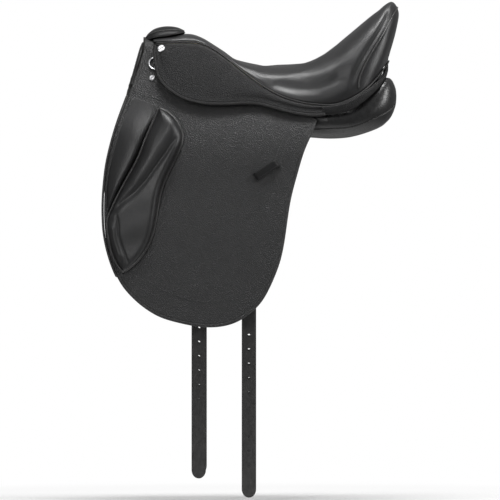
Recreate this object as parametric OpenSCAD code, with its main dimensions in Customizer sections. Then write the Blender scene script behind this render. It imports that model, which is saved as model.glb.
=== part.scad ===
// English dressage saddle: wood and steel tree, padded seat, flocked panels, long flaps with
// outside knee blocks, long girth billets.  X runs from pommel (-) to cantle (+), Y across the
// horse (left side is -Y), Z up.  The origin lies midway along the saddle on its centre plane,
// at the level where the rear of the panels rests on the horse.

/* [Flaps] */
// Half-width of the saddle over the flaps at the origin
flap_half_w = 136; // [126:1:150]
// Sideways growth of the flaps per millimetre of length
flap_splay = 0.105; // [0.08:0.005:0.13]
// Sideways growth of the flaps per millimetre of drop, above the bend
flap_slope = 0.35; // [0.32:0.01:0.38]
// Sideways growth of the flaps per millimetre of drop, below the bend
flap_hang = 0.08; // [0.05:0.01:0.12]
// Thickness of the flap leather
flap_t = 4.5; // [3.5:0.5:5]

/* [Skirts] */
// Half-width of the saddle over the skirts at the origin
skirt_half_w = 154; // [152:1:158]
// Sideways growth of the skirts per millimetre of length
skirt_splay = 0.055; // [0.04:0.005:0.06]
// Sideways growth of the skirts per millimetre of drop
skirt_slope = 0.45; // [0.44:0.01:0.47]
// Thickness of the skirt leather
skirt_t = 4; // [3:0.5:5]

/* [Billets] */
// Width of a girth billet
billet_w = 27; // [24:1:32]
// Thickness of a girth billet
billet_t = 4; // [3:0.5:5]
// Distance between two neighbouring buckle holes
hole_pitch = 27; // [24:1:30]
// Diameter of a buckle hole
hole_d = 6; // [4:0.5:7]
// Centre of the front billet along the saddle
billet_front_x = -96; // [-104:1:-88]
// Centre of the rear billet along the saddle
billet_rear_x = -2; // [-6:1:4]

/* [Metalwork] */
// Diameter of the stirrup bar
bar_d = 6.5; // [6:0.5:7]
// Length of the stirrup bar that takes the leather
bar_len = 52; // [48:1:56]
// Wire diameter of the front dee
dee_wire = 3; // [2.5:0.5:3.5]
// Inside height of the front dee
dee_h = 20; // [18:1:22]
// Head diameter of the skirt screw
skirt_screw_d = 14; // [12:1:15]
// Head diameter of the flap screw
flap_screw_d = 11; // [9:1:12]

/* [Hidden] */

leather = [0.13, 0.13, 0.14];
gloss_leather = [0.2, 0.2, 0.22];
lining = [0.3, 0.3, 0.32];
steel = [0.75, 0.76, 0.78];
wood = [0.72, 0.55, 0.35];
webbing = [0.86, 0.84, 0.76];
foam = [0.9, 0.87, 0.7];
wool = [0.94, 0.92, 0.88];

// ---------------------------------------------------------------- curves and closed surfaces

function mix(a, b, t) = a + (b - a) * t;

function unit(v) = v / norm(v);

// Point at s (0 to 1) of the smooth curve through the control rows p
function curve_at(p, s) =
    let (n = len(p) - 1, i = min(floor(s * n), n - 1), t = s * n - i)
    let (p0 = p[max(i - 1, 0)], p1 = p[i], p2 = p[i + 1], p3 = p[min(i + 2, n)])
    0.5 * (2 * p1 + (p2 - p0) * t + (2 * p0 - 5 * p1 + 4 * p2 - p3) * t * t
        + (3 * p1 - p0 - 3 * p2 + p3) * t * t * t);

function curve(p, n) = [for (i = [0:n]) curve_at(p, i / n)];

function reversed(p) = [for (i = [len(p) - 1:-1:0]) p[i]];

function middle(ring) = [for (k = [0:2]) [for (p = ring) p[k]] * [for (p = ring) 1] / len(ring)];

// Two triangles for each cell of a grid whose rows are m long
function cells(n, m, base, flip) = [
    for (i = [0:n - 2], j = [0:m - 2])
        let (a = base + i * m + j, b = a + 1, c = a + m, d = c + 1)
        each flip ? [[a, c, b], [b, c, d]] : [[a, b, c], [b, d, c]]
];

// Solid between two grids of points, for leather and foam sheets
module sheet(outer, inner) {
    n = len(outer);
    m = len(outer[0]);
    k = n * m;
    rim = concat(
        [for (j = [0:m - 2]) j],
        [for (i = [0:n - 2]) i * m + m - 1],
        [for (j = [m - 1:-1:1]) (n - 1) * m + j],
        [for (i = [n - 1:-1:1]) i * m]
    );
    r = len(rim);
    walls = [
        for (i = [0:r - 1])
            let (a = rim[i], b = rim[(i + 1) % r])
            each [[a, a + k, b], [b, a + k, b + k]]
    ];
    polyhedron(
        points = concat([for (row = outer) each row], [for (row = inner) each row]),
        faces = concat(cells(n, m, 0, false), cells(n, m, k, true), walls)
    );
}

// Solid through a row of closed rings, each with an even number of points, capped at both ends
module loft(rings) {
    n = len(rings);
    m = len(rings[0]);
    centres = [for (ring = rings) middle(ring)];
    turns = [
        for (i = [0:n - 2])
            cross(rings[i][0] - centres[i], rings[i][1] - centres[i])
                * unit(centres[i + 1] - centres[i])
    ];
    turn = turns * [for (t = turns) 1];
    sides = [
        for (i = [0:n - 2], j = [0:m - 1])
            let (a = i * m + j, b = i * m + (j + 1) % m, c = a + m, d = b + m)
            each [[a, c, b], [b, c, d]]
    ];
    caps = [
        for (j = [0:m / 2 - 2])
            let (a = j, b = j + 1, c = m - 2 - j, d = m - 1 - j, e = (n - 1) * m)
            each [[a, b, d], [b, c, d], [a + e, d + e, b + e], [b + e, d + e, c + e]]
    ];
    faces = concat(sides, caps);
    polyhedron(
        points = [for (ring = rings) each ring],
        faces = turn > 0 ? faces : [for (f = faces) [f[0], f[2], f[1]]]
    );
}

// Round cord of radius r along a path
module cord(path, r, sides = 6) {
    n = len(path);
    loft([
        for (i = [0:n - 1])
            let (t = unit(path[min(i + 1, n - 1)] - path[max(i - 1, 0)]))
            let (side = unit(cross(t, [0, 0.3, 1])), up = cross(side, t))
            [for (a = [0:sides - 1])
                path[i] + r * (side * cos(a * 360 / sides) + up * sin(a * 360 / sides))]
    ]);
}

module both_sides() {
    children();
    mirror([0, 1, 0]) children();
}

module at_side(side) {
    mirror([0, side == "right" ? 1 : 0, 0]) children();
}

// ---------------------------------------------------------------- side surfaces of the saddle

// A side surface is [half-width, splay, slope, hang]; its bend lies between +bend and -bend
bend = 30;
flap_face = [flap_half_w, flap_splay, flap_slope, flap_hang];
skirt_face = [skirt_half_w, skirt_splay, skirt_slope, skirt_slope];
sweat_face = [flap_half_w, flap_splay, flap_slope, -0.012];

function bend_rise(z) = z > bend ? z : z < -bend ? 0 : (z + bend) * (z + bend) / (4 * bend);

function drop_w(face, z) = face[0] - face[3] * z - (face[2] - face[3]) * bend_rise(z);

// Half-width of a side surface at x, z, moved outward by out
function side_w(face, x, z, out = 0) = drop_w(face, z) + face[1] * x + out;

function on_side(face, p, out = 0) = [p[0], -side_w(face, p[0], p[1], out), p[1]];

// Left-hand sheet: a 2-D outline (X, Z) cut from a bent layer whose outer face is moved by out
module side_sheet(face, out, t, top = 200, bottom = -400) {
    levels = concat([top], [for (i = [6:-1:-6]) i * bend / 6], [bottom]);
    c = cos(atan(face[1]));
    intersection() {
        rotate([90, 0, 0]) linear_extrude(300) children();
        rotate([0, 0, -atan(face[1])])
            rotate([90, 0, 90])
                linear_extrude(1000, center = true)
                    polygon(concat(
                        [for (z = levels) [-c * (drop_w(face, z) + out), z]],
                        [for (z = reversed(levels)) [-c * (drop_w(face, z) + out - t), z]]
                    ));
    }
}

// Puts children on a sloping side surface, their Z axis pointing out of it
module on_face(face, p, out = 0) {
    translate(on_side(face, p, out))
        rotate([0, 0, -atan(face[1])])
            rotate([90 - atan(face[2]), 0, 0])
                children();
}

// The part of a 2-D outline above (side 1) or below (side -1) a fold line, set back by gap
module beyond(line, side, gap) {
    run = unit(line[1] - line[0]);
    up = [-run[1], run[0]] * side;
    a = line[0] - 200 * run + gap * up;
    b = line[1] + 200 * run + gap * up;
    intersection() {
        children();
        polygon([a, b, b + 600 * up, a + 600 * up]);
    }
}

// ---------------------------------------------------------------- seat

// Stations from pommel to the foot of the cantle: crest x z, seam x z, seam half-width, core x z
seat_rows = [
    [-183, 188, -181, 181, 54, -183, 110],
    [-150, 192, -150, 182, 62, -150, 105],
    [-118, 197.5, -120, 182, 64, -120, 100],
    [-92, 190.6, -96, 180.5, 66, -95, 95],
    [-62, 171, -70, 170, 72, -66, 85],
    [-32, 151, -42, 150.5, 83, -36, 70],
    [0, 140.4, -12, 125.5, 96, -4, 60],
    [40, 136.5, 25, 98, 111, 32, 50],
    [80, 139.5, 60, 79, 121, 70, 45],
    [120, 150, 95, 68, 128, 108, 45],
    [160, 173, 128, 63.5, 132, 140, 55],
    [200, 206.5, 162, 64, 134, 170, 75],
    [238, 240, 192, 76, 132, 190, 100],
    [267, 261, 216, 92, 124, 205, 120],
    [281, 240, 234, 110, 110, 212, 130],
    [276, 205, 247, 127, 88, 215, 135],
    [268, 178, 256, 139, 58, 218, 138],
    [261, 160, 261, 148, 22, 220, 140]
];
seat_steps = 30;
seat_across = 18;
dish_depth = 0.13;
dish_from = 0.42;
dish_to = 0.84;
dish_reach = 0.6;
crest_power = 3.4;
cover_t = 2.2;
foam_t = 15;

function dish(u) = u < dish_from || u > dish_to ? 0
    : dish_depth * sin((u - dish_from) / (dish_to - dish_from) * 180);

// Height share of the seat's cross-section at s (0 centre, 1 seam)
function crown(u, s) =
    let (hollow = s < dish_reach ? pow(1 - pow(s / dish_reach, 2), 2) : 0)
    (sqrt(max(0, 1 - pow(s, crest_power))) - dish(u) * hollow) / (1 - 0.3 * dish(u));

// Point of the seat surface at u along, phi across (-90 to 90), sunk by depth
function seat_point(u, phi, depth) =
    let (r = curve_at(seat_rows, u), s = abs(sin(phi)), f = crown(u, s))
    let (p = [mix(r[2], r[0], f), r[4] * sin(phi), mix(r[3], r[1], f)])
    p + depth * unit([r[5], 0, r[6]] - p);

function seat_grid(u0, u1, phi0, phi1, depth, n, m) = [
    for (i = [0:n])
        [for (j = [0:m]) seat_point(mix(u0, u1, i / n), mix(phi0, phi1, j / m), depth)]
];

// Part of a layer under the seat, between two depths
module seat_layer(u0, u1, phi0, phi1, depth, t, n = seat_steps, m = seat_across) {
    sheet(
        seat_grid(u0, u1, phi0, phi1, depth, n, m),
        seat_grid(u0, u1, phi0, phi1, depth + t, n, m)
    );
}

module seat_cover() {
    color(gloss_leather) seat_layer(0, 1, -90, 90, 0, cover_t);
}

module seat_foam() {
    color(foam) seat_layer(0, 1, -90, 90, cover_t + 0.5, foam_t);
}

// ---------------------------------------------------------------- tree and webs under the seat

rail_in = 32;
rail_out = 58;
web_depth = cover_t + foam_t + 2.2;
web_t = 1.5;
tree_depth = web_depth + 2 * web_t + 3;
tree_t = 11;
tree_n = 12;

module tree_frame() {
    color(wood) {
        seat_layer(0.02, 0.16, -rail_out, rail_out, tree_depth, tree_t, 3, tree_n);
        both_sides() seat_layer(0.15, 0.73, rail_in, rail_out, tree_depth, tree_t, tree_n, 2);
        seat_layer(0.72, 0.8, -rail_out, rail_out, tree_depth, tree_t, 3, tree_n);
    }
}

// Steel head arch with its two points, hugging the withers (right-hand half, outer face)
plate_path = [[0, 150], [20, 147.5], [33, 141], [44, 131], [53, 116], [65, 85], [77, 50], [86, 22]];
plate_t = 5;
plate_x = [-190, -140];

function mirrored(p) = [for (q = reversed(p)) if (q[0] > 0) [-q[0], q[1]]];

// Closed band of thickness t on the right-hand side of a 2-D path
function band(path, t) =
    let (n = len(path))
    concat(path, reversed([
        for (i = [0:n - 1])
            let (d = unit(path[min(i + 1, n - 1)] - path[max(i - 1, 0)]))
            path[i] + t * [d[1], -d[0]]
    ]));

// Extrudes a 2-D shape, drawn in Y and Z, from x0 to x1
module across(x0, x1) {
    translate([x0, 0, 0]) rotate([90, 0, 90]) linear_extrude(x1 - x0) children();
}

module gullet_plate() {
    color(steel)
        difference() {
            across(plate_x[0], plate_x[1])
                polygon(band(concat(mirrored(plate_path), plate_path), plate_t));
            both_sides() at_rivets() cylinder(h = through, d = rivet_d + rivet_play, center = true);
        }
}

module spring_steel() {
    color(steel) seat_layer(0.17, 0.7, -50, -40, tree_depth + tree_t + 2.5, 2, 14, 1);
}

module seat_web_long() {
    color(webbing)
        both_sides() seat_layer(0.1, 0.76, 8, 24, web_depth + web_t + 1, web_t, 24, 2);
}

module seat_web_cross() {
    color(webbing)
        for (u = [0.25, 0.46, 0.58])
            seat_layer(u, u + 0.04, -rail_out, rail_out, web_depth, web_t, 2, seat_across);
}

// Web over the tree that carries one pair of girth billets
web_w = 36;
web_tuck = 17;
web_end = 86.5;

module girth_web(x, u) {
    edge = seat_point(u, 90, web_depth + web_t / 2);
    drop = concat(
        [[edge[1] + 0.8, edge[2] - 2], [edge[1] + 1.5, edge[2] - web_tuck]],
        [for (z = [edge[2] - 2 * web_tuck, web_end])
            if (z == web_end || z > web_end + 10) [side_w(flap_face, x, z, -8), z]]
    );
    color(webbing) {
        seat_layer(u - 0.02, u + 0.02, -90, 90, web_depth + 0.3, web_t, 2, seat_across);
        both_sides()
            across(x - web_w / 2, x + web_w / 2) polygon(band(drop, 2));
    }
}

module girth_web_front() {
    girth_web(billet_front_x, 0.176);
}

module girth_web_rear() {
    girth_web(billet_rear_x, 0.353);
}

// ---------------------------------------------------------------- seat trim

// Side view point of the seat seam at u, moved away from the seat by drop
function seam_xz(u, drop) =
    let (a = curve_at(seat_rows, max(u - 0.01, 0)), b = curve_at(seat_rows, min(u + 0.01, 1)))
    let (r = curve_at(seat_rows, u), t = unit([b[2] - a[2], b[3] - a[3]]))
    [r[2] + drop * t[1], r[3] - drop * t[0]];

seam_gap = 4;
welt_r = 1.6;
welt_n = 34;

module seat_welt() {
    half = [
        for (i = [0:welt_n])
            let (u = mix(0.01, 0.985, i / welt_n), p = seam_xz(u, seam_gap / 2))
            [p[0], -curve_at(seat_rows, u)[4] - 1, p[1]]
    ];
    color(leather)
        cord(concat(half, [for (p = reversed(half)) [p[0], -p[1], p[2]]]), welt_r);
}

// Stations of the padded cap over the head: x, crest z, side z, half-width, thickness
cap_rows = [
    [-200, 187, 180, 28, 3], [-192, 199, 185, 40, 5], [-178, 208.5, 189.5, 46, 8],
    [-158, 212.4, 192, 46, 9], [-138, 210.5, 196, 42, 8], [-124, 204.5, 199.5, 28, 4]
];
cap_n = 16;

module pommel_cap() {
    rows = curve(cap_rows, 15);
    outer = [
        for (r = rows)
            [for (j = [0:cap_n])
                let (phi = mix(-90, 90, j / cap_n))
                [r[0], r[3] * sin(phi), mix(r[2], r[1], cos(phi))]]
    ];
    inner = [
        for (r = rows)
            [for (j = [0:cap_n])
                let (phi = mix(-90, 90, j / cap_n))
                [r[0] + 0.4 * r[4] * cos(phi), (r[3] - 0.7 * r[4]) * sin(phi),
                    mix(r[2], r[1] - r[4], cos(phi))]]
    ];
    color(gloss_leather) sheet(outer, inner);
}

facing_path = [[0, 181], [22, 177], [38, 166], [50, 146], [59, 122], [68, 98]];
facing_t = 14;
facing_lean = 15;
facing_foot_x = -204;

// Arch facing at the front of the head, between the panels
module pommel_facing() {
    color(gloss_leather)
        translate([facing_foot_x, 0, facing_path[0][1]])
            rotate([0, facing_lean, 0])
                translate([0, 0, -facing_path[0][1]])
                    across(0, 4)
                        polygon(band(concat(mirrored(facing_path), facing_path), facing_t));
}

// Left half of the strip that closes the saddle round the foot of the cantle: x, y, z, width
band_rows = [
    [146, -135, 52, 11], [172, -137.5, 54, 11], [198, -135, 65, 10], [222, -125, 83, 8],
    [241, -110, 101, 7.5], [251, -86, 114.5, 9], [256, -54, 128, 13], [257.5, -25, 135, 17],
    [257.5, 0, 137, 19]
];
band_t = 5;

module cantle_band() {
    half = curve(band_rows, 20);
    rows = concat(half, [for (p = reversed(half)) if (p[1] < 0) [p[0], -p[1], p[2], p[3]]]);
    path = [for (p = rows) [p[0], p[1], p[2]]];
    n = len(path);
    color(leather)
        loft([
            for (i = [0:n - 1])
                let (t = unit(path[min(i + 1, n - 1)] - path[max(i - 1, 0)]))
                let (out = unit(cross(t, [0, 0, 1])), up = cross(out, t))
                [for (a = [0:11])
                    let (c = cos(a * 30), s = sin(a * 30))
                    path[i] + out * band_t / 2 * sign(c) * sqrt(abs(c))
                        + up * rows[i][3] / 2 * sign(s) * sqrt(abs(s))]
        ]);
}

// ---------------------------------------------------------------- panels

// Stations of the panel along the back: x, centre y, centre z, half-width, half-depth, tilt
panel_rows = [
    [-152, -47, 66, 46, 14, 62], [-100, -57, 52, 46, 17, 52], [-50, -66, 46, 45, 20, 38],
    [0, -68, 40, 42, 23, 26], [60, -72, 36, 42, 27, 15], [110, -80, 34, 46, 31, 6],
    [150, -86, 33, 48, 33, 0], [185, -87, 36, 47, 34, 0], [212, -85, 46, 44, 38, 0],
    [236, -79, 58, 39, 41, 0], [255, -73, 68, 30, 40, 0], [268, -69, 71, 20, 31, 0],
    [277, -68, 72, 6, 12, 0]
];
// Levels of the front of the panel: z, centre x, half-length, depth behind the flap, half-depth
front_rows = [
    [140, -206, 8, 34, 6], [124, -207, 19, 42, 9], [90, -192, 46, 50, 12],
    [50, -192, 60, 50, 12.5], [10, -197, 69, 46, 12.5], [-30, -202, 73.5, 35, 12],
    [-70, -208, 72, 32, 11.5], [-100, -217, 63, 31, 11], [-118, -228, 46, 31, 9],
    [-128, -238, 22, 31, 5]
];
panel_ring = 16;
panel_skin = 2;
flock_slit = [50, 4, 40];
flock_slit_place = [20, -70, 40];

// Left panel's outer shape, shrunk by inset on every side
module panel_shape(inset) {
    back = curve(panel_rows, 20);
    front = curve(front_rows, 14);
    loft([
        for (i = [0:len(back) - 1])
            let (r = back[i], end = i == 0 ? inset : i == len(back) - 1 ? -inset : 0)
            [for (a = [0:panel_ring - 1])
                let (c = (r[3] - inset) * cos(a * 360 / panel_ring))
                let (s = (r[4] - inset) * sin(a * 360 / panel_ring))
                [r[0] + end, r[1] - c * cos(r[5]) - s * sin(r[5]),
                    r[2] - c * sin(r[5]) + s * cos(r[5])]]
    ]);
    loft([
        for (i = [0:len(front) - 1])
            let (r = front[i], end = i == 0 ? -inset : i == len(front) - 1 ? inset : 0)
            [for (a = [0:panel_ring - 1])
                let (x = r[1] + (r[2] - inset) * cos(a * 360 / panel_ring))
                let (out = (r[4] - inset) * sin(a * 360 / panel_ring) - r[3])
                on_side(sweat_face, [x, r[0] + end], out)]
    ]);
}

module panel() {
    color(gloss_leather)
        difference() {
            panel_shape(0);
            panel_shape(panel_skin);
            translate(flock_slit_place) cube(flock_slit);
        }
}

module flock() {
    color(wool) panel_shape(panel_skin + 0.6);
}

module point_pocket() {
    color(leather)
        side_sheet(flap_face, -18.5, 1.6)
            polygon([[-196, 64], [-136, 64], [-138, 24], [-148, 12], [-184, 12], [-194, 24]]);
}

// ---------------------------------------------------------------- stirrup bars

rivet_d = 5;
rivet_play = 0.4;
rivet_head = [9, 2];
rivet_x = [-182, -148];
rivet_z = 96;
rivet_slope = 12 / 31;
through = 30;
base_t = 3;
base_gap = 0.2;
bar_out = 4.25;
bar_place = [-159, 99];
elbow_len = 24;
collar_d = bar_d + 1.5;
collar_len = 5;
bar_end = collar_len + bar_len;
catch_pivot = 5;
catch_len = 16;
catch_t = 3;
catch_h = 5.4;
slot_t = 3.4;
pin_d = 2.4;
pin_play = 0.2;

function plate_y(z) = 65 - (z - 85) * rivet_slope;

module at_rivets() {
    for (x = rivet_x)
        translate([x, -plate_y(rivet_z), rivet_z]) rotate([90 - atan(rivet_slope), 0, 0]) children();
}

module at_bar() {
    on_face(flap_face, bar_place) translate([0, 0, bar_out]) children();
}

module bar_rivets() {
    color(steel)
        both_sides() at_rivets() {
            inside = -plate_t - 0.2;
            outside = base_gap + base_t + 0.1;
            translate([0, 0, inside]) cylinder(h = outside - inside, d = rivet_d);
            translate([0, 0, outside]) cylinder(h = rivet_head[1], d = rivet_head[0]);
            translate([0, 0, inside - rivet_head[1]]) cylinder(h = rivet_head[1], d = rivet_head[0]);
        }
}

module stirrup_bar() {
    base_z = [82, 112];
    color(steel)
        difference() {
            union() {
                at_bar() {
                    rotate([0, 90, 0]) cylinder(h = bar_end, d = bar_d);
                    rotate([0, 90, 0]) cylinder(h = collar_len, d = collar_d);
                    sphere(d = collar_d);
                    rotate([180, 0, 0]) cylinder(h = elbow_len, d = bar_d);
                }
                mirror([0, 1, 0])
                    across(-188, -141)
                        polygon(concat(
                            [for (z = base_z) [plate_y(z) + base_gap, z]],
                            [for (z = reversed(base_z)) [plate_y(z) + base_gap + base_t, z]]
                        ));
            }
            at_rivets() cylinder(h = through, d = rivet_d + rivet_play, center = true);
            at_bar() {
                translate([bar_end - catch_pivot - 4, -bar_d, -slot_t / 2])
                    cube([bar_d + 4, 2 * bar_d, slot_t]);
                translate([bar_end - catch_pivot, 0, 0])
                    cylinder(h = 2 * bar_d, d = pin_d + pin_play, center = true);
            }
        }
}

module bar_catch() {
    color(steel)
        at_bar()
            translate([bar_end - catch_pivot, 0, -catch_t / 2])
                difference() {
                    union() {
                        cylinder(h = catch_t, d = catch_h);
                        translate([0, -catch_h / 2, 0])
                            cube([catch_pivot + catch_len - catch_h / 2, catch_h, catch_t]);
                        translate([catch_pivot + catch_len - catch_h / 2, 0, 0])
                            cylinder(h = catch_t, d = catch_h);
                    }
                    cylinder(h = 3 * catch_t, d = pin_d + pin_play, center = true);
                }
}

module catch_pins() {
    color(steel)
        both_sides() at_bar()
            translate([bar_end - catch_pivot, 0, 0]) cylinder(h = bar_d - 1, d = pin_d, center = true);
}

// ---------------------------------------------------------------- front dees and screws

dee_place = [-178, 140];
dee_out = 2.2;
dee_r = (dee_h + dee_wire) / 2;
staple_wire = 1.8;
staple_r = dee_wire / 2 + staple_wire / 2 + 0.4;
staple_leg = 14;
skirt_screw_place = [-166.6, 168];
skirt_screw_len = 20;
flap_screw_place = [-183.7, 112.8];
flap_screw_len = 18;
screw_shank = 4;
head_lift = 0.2;
head_rim = 1;
head_dome = 1.2;
head_slot = 1.6;
screw_play = 0.6;

module front_dee() {
    color(steel)
        on_face(flap_face, dee_place) translate([0, 0, dee_out]) {
            rotate([0, 0, 90])
                rotate_extrude(angle = 180) translate([dee_r, 0]) circle(d = dee_wire);
            rotate([90, 0, 0]) cylinder(h = 2 * dee_r, d = dee_wire, center = true);
            for (y = [-dee_r, dee_r])
                translate([0, y, 0]) sphere(d = dee_wire);
        }
}

module dee_staples() {
    color(steel)
        both_sides() on_face(flap_face, dee_place) translate([0, 0, dee_out]) {
            rotate([90, 0, 0])
                rotate_extrude() translate([staple_r, 0]) circle(d = staple_wire);
            translate([0, 0, -staple_r - staple_leg]) cylinder(h = staple_leg, d = 3);
        }
}

// Slotted screw with a low domed head, standing on the XY plane
module screw(head_d, shank_len) {
    difference() {
        translate([0, 0, head_lift]) {
            cylinder(h = head_rim, d = head_d);
            translate([0, 0, head_rim]) cylinder(h = head_dome, d1 = head_d, d2 = head_d * 0.7);
            translate([0, 0, -shank_len]) cylinder(h = shank_len, d = screw_shank);
        }
        rotate([0, 0, 40])
            translate([-head_d, -head_slot / 2, head_lift + head_rim])
                cube([2 * head_d, head_slot, 2 * head_dome]);
    }
}

module skirt_screws() {
    color(steel)
        both_sides() on_face(skirt_face, skirt_screw_place) screw(skirt_screw_d, skirt_screw_len);
}

module flap_screws() {
    color(steel)
        both_sides() on_face(flap_face, flap_screw_place) screw(flap_screw_d, flap_screw_len);
}

// ---------------------------------------------------------------- skirts

skirt_fold = [[-182.4, 150.4], [94, 40.8]];
fold_gap = 0.8;
skirt_end_x = 141;
skirt_edge = [
    [-181, 176], [-182.5, 161], [-180.5, 141], [-175.8, 118.4], [-166.2, 101.5], [-152.3, 88.4],
    [-127.8, 73.3], [-103.4, 65.5], [-79, 61.3], [-43.2, 60.7], [-7.5, 62.4], [18.8, 60.2],
    [50.8, 51.7], [75.2, 45.1], [101.5, 40.4], [125, 39.3], [skirt_end_x, 41.5]
];

module skirt_outline() {
    top = [for (i = [40:-1:0]) seam_xz(i / 40, seam_gap)];
    polygon(concat(curve(skirt_edge, 48), [for (p = top) if (p[0] < skirt_end_x && p[0] > -180) p]));
}

module skirt() {
    color(leather)
        side_sheet(skirt_face, 0, skirt_t) beyond(skirt_fold, -1, fold_gap) skirt_outline();
}

module skirt_top() {
    color(leather)
        difference() {
            side_sheet(skirt_face, 0, skirt_t) beyond(skirt_fold, 1, 0) skirt_outline();
            on_face(skirt_face, skirt_screw_place)
                cylinder(h = through, d = screw_shank + screw_play, center = true);
        }
}

// ---------------------------------------------------------------- flaps

flap_fold = [[-229.4, 86.5], [118.4, 13.2]];
flap_front_top = [-225.5, 86.5];
flap_edge = [
    [-246, 30], [-260, -19], [-269, -66], [-273.5, -134], [-268, -201], [-249, -261],
    [-219, -301], [-176, -332.5], [-128, -348], [-80, -355], [-40, -350.5], [-8, -335],
    [23, -305], [48, -255], [62, -207], [75, -122], [88, -70], [102, -24], [118.4, 13.2]
];
flap_top_edge = [
    [118.4, 13.2], [129, 36], [110, 41], [60, 57], [0, 83], [-40, 91], [-100, 111],
    [-150, 139], [-172, 159], [-186, 177], [-197, 176], [-211, 130], flap_front_top
];

module flap_outline() {
    polygon(concat([flap_front_top], curve(flap_edge, 60)));
}

module flap() {
    color(leather)
        side_sheet(flap_face, 0, flap_t) beyond(flap_fold, -1, fold_gap) flap_outline();
}

module flap_top() {
    color(leather)
        difference() {
            side_sheet(flap_face, 0, flap_t) beyond(flap_fold, 1, 0) polygon(flap_top_edge);
            on_face(flap_face, flap_screw_place)
                cylinder(h = through, d = screw_shank + screw_play, center = true);
            on_face(flap_face, dee_place) cylinder(h = through, d = 2 * staple_r + 3, center = true);
            on_face(flap_face, bar_place) cylinder(h = through, d = bar_d + 3, center = true);
        }
}

flap_welt_r = 2.2;
flap_welt_end = -215;

// Piping along the front edge of the moving flap
module flap_welt() {
    edge = concat([[-228, 80]], curve(flap_edge, 60));
    path = [for (p = edge) if (p[1] > flap_welt_end && p[0] < -200) on_side(flap_face, p, 0)];
    color(gloss_leather)
        translate([-flap_welt_r - 0.5, 0, 0]) cord(path, flap_welt_r);
}

sweat_edge = [
    [-205, 64], [-235, 11], [-252, -61], [-254, -150], [-238, -215], [-200, -262], [-150, -290],
    [-80, -300], [-20, -288], [24, -250], [44, -200], [56, -120], [62, -51], [60, 12], [40, 51],
    [0, 60], [-60, 64], [-130, 68], [-180, 70]
];

module sweat_flap() {
    color(leather) side_sheet(sweat_face, -14, 3) polygon(sweat_edge);
}

// ---------------------------------------------------------------- knee roll and knee block

roll_edge = [
    [-217, 76], [-192, 70], [-174, 60], [-184, 36], [-202, 4], [-225, -46], [-250, -100],
    [-264, -116], [-269, -100], [-264, -60], [-253, -16], [-240, 28]
];
roll_foot = 1;
roll_h = [roll_foot, roll_foot, roll_foot, 5, 8];
roll_shrink = [0.8, 0.4, 0, 0.05, 0.35];

block_edge = [
    [-171, 54.5], [-152.3, 47], [-137.2, 30], [-127.8, 15], [-124, -1], [-129.7, -17],
    [-150.4, -60], [-163.6, -88.4], [-171, -118.4], [-175.8, -152.3], [-183, -186],
    [-195.5, -212.4], [-214.3, -236.9], [-238, -253], [-255, -226], [-264.5, -188],
    [-268, -158], [-263, -133], [-244, -94], [-221, -48], [-197, 0], [-182, 32]
];
block_spine = [[-150, 30], [-172, -60], [-196, -130], [-224, -225]];
block_n = 40;
block_foot = 1;
block_base = [0.85, 0.5, 0.2, 0];
block_rise = [14, 25, 32, 35];
block_shrink = [0.02, 0.1, 0.35, 0.7];
block_front_share = 0.6;
block_front_len = 90;
block_skin = 2.2;

// Point of the block's spine level with z
function spine_at(z) =
    let (s = max(0, min(1, (block_spine[0][1] - z) / (block_spine[0][1] - block_spine[3][1]))))
    curve_at(block_spine, s);

// Ring of the knee block: the outline drawn in towards the spine and raised off the flap, less
// towards its front; inset shrinks the block and foot is its lowest height
function block_ring(shrink, rise, inset, foot) = [
    for (i = [0:block_n - 1])
        let (p = curve_at(concat(block_edge, [block_edge[0]]), i / block_n), m = spine_at(p[1]))
        let (q = mix(p, m, shrink), r = q + inset * unit(m - q))
        let (front = max(0, m[0] - r[0]) / block_front_len)
        on_side(flap_face, r, max(foot, rise * (1 - front * (1 - block_front_share)) - inset))
];

// Domed block on the flap's face: rings over its base, then rings up its dome
module block_shape(inset, foot) {
    loft(concat(
        [for (share = block_base) block_ring(share, 0, inset, foot)],
        [for (i = [0:len(block_rise) - 1]) block_ring(block_shrink[i], block_rise[i], inset, foot)]
    ));
}

module knee_block_cover() {
    color(gloss_leather)
        difference() {
            block_shape(0, block_foot);
            block_shape(block_skin, -2);
        }
}

module knee_block_foam() {
    color(foam) block_shape(block_skin + 1, block_foot + 2.3);
}

module knee_roll() {
    closed = concat(roll_edge, [roll_edge[0]]);
    mid = [for (k = [0, 1]) [for (p = roll_edge) p[k]] * [for (p = roll_edge) 1] / len(roll_edge)];
    color(gloss_leather)
        loft([
            for (i = [0:len(roll_h) - 1])
                [for (j = [0:23])
                    on_side(flap_face, mix(curve_at(closed, j / 24), mid, roll_shrink[i]), roll_h[i])]
        ]);
}

// ---------------------------------------------------------------- stirrup-leather keeper

keeper_place = [31, -61];
keeper_size = [50, 15.5, 2.5];
keeper_tilt = 33;
keeper_room = 4;

module leather_keeper() {
    color(leather)
        on_face([flap_half_w, flap_splay, flap_hang, flap_hang], keeper_place, -keeper_drop())
            rotate([0, 0, keeper_tilt])
                translate([-keeper_size[0] / 2, -keeper_size[1] / 2, 0]) {
                    translate([0, 0, keeper_room])
                        cube(keeper_size);
                    for (x = [0, keeper_size[0] - 2.5])
                        translate([x, 0, 0.6]) cube([2.5, keeper_size[1], keeper_room]);
                }
}

// Difference between the flap surface and its straight lower part, at the keeper
function keeper_drop() = (flap_slope - flap_hang) * bend_rise(keeper_place[1]);

// ---------------------------------------------------------------- girth billets

billet_top = 82;
billet_out = -7.5;
billet_straight = -10;
billet_tip_front = -638.5;
billet_tip_rear = -674;
billet_tip_len = 16;
hole_count = 10;
holes_front_z = -451;
holes_rear_z = -492;

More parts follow.
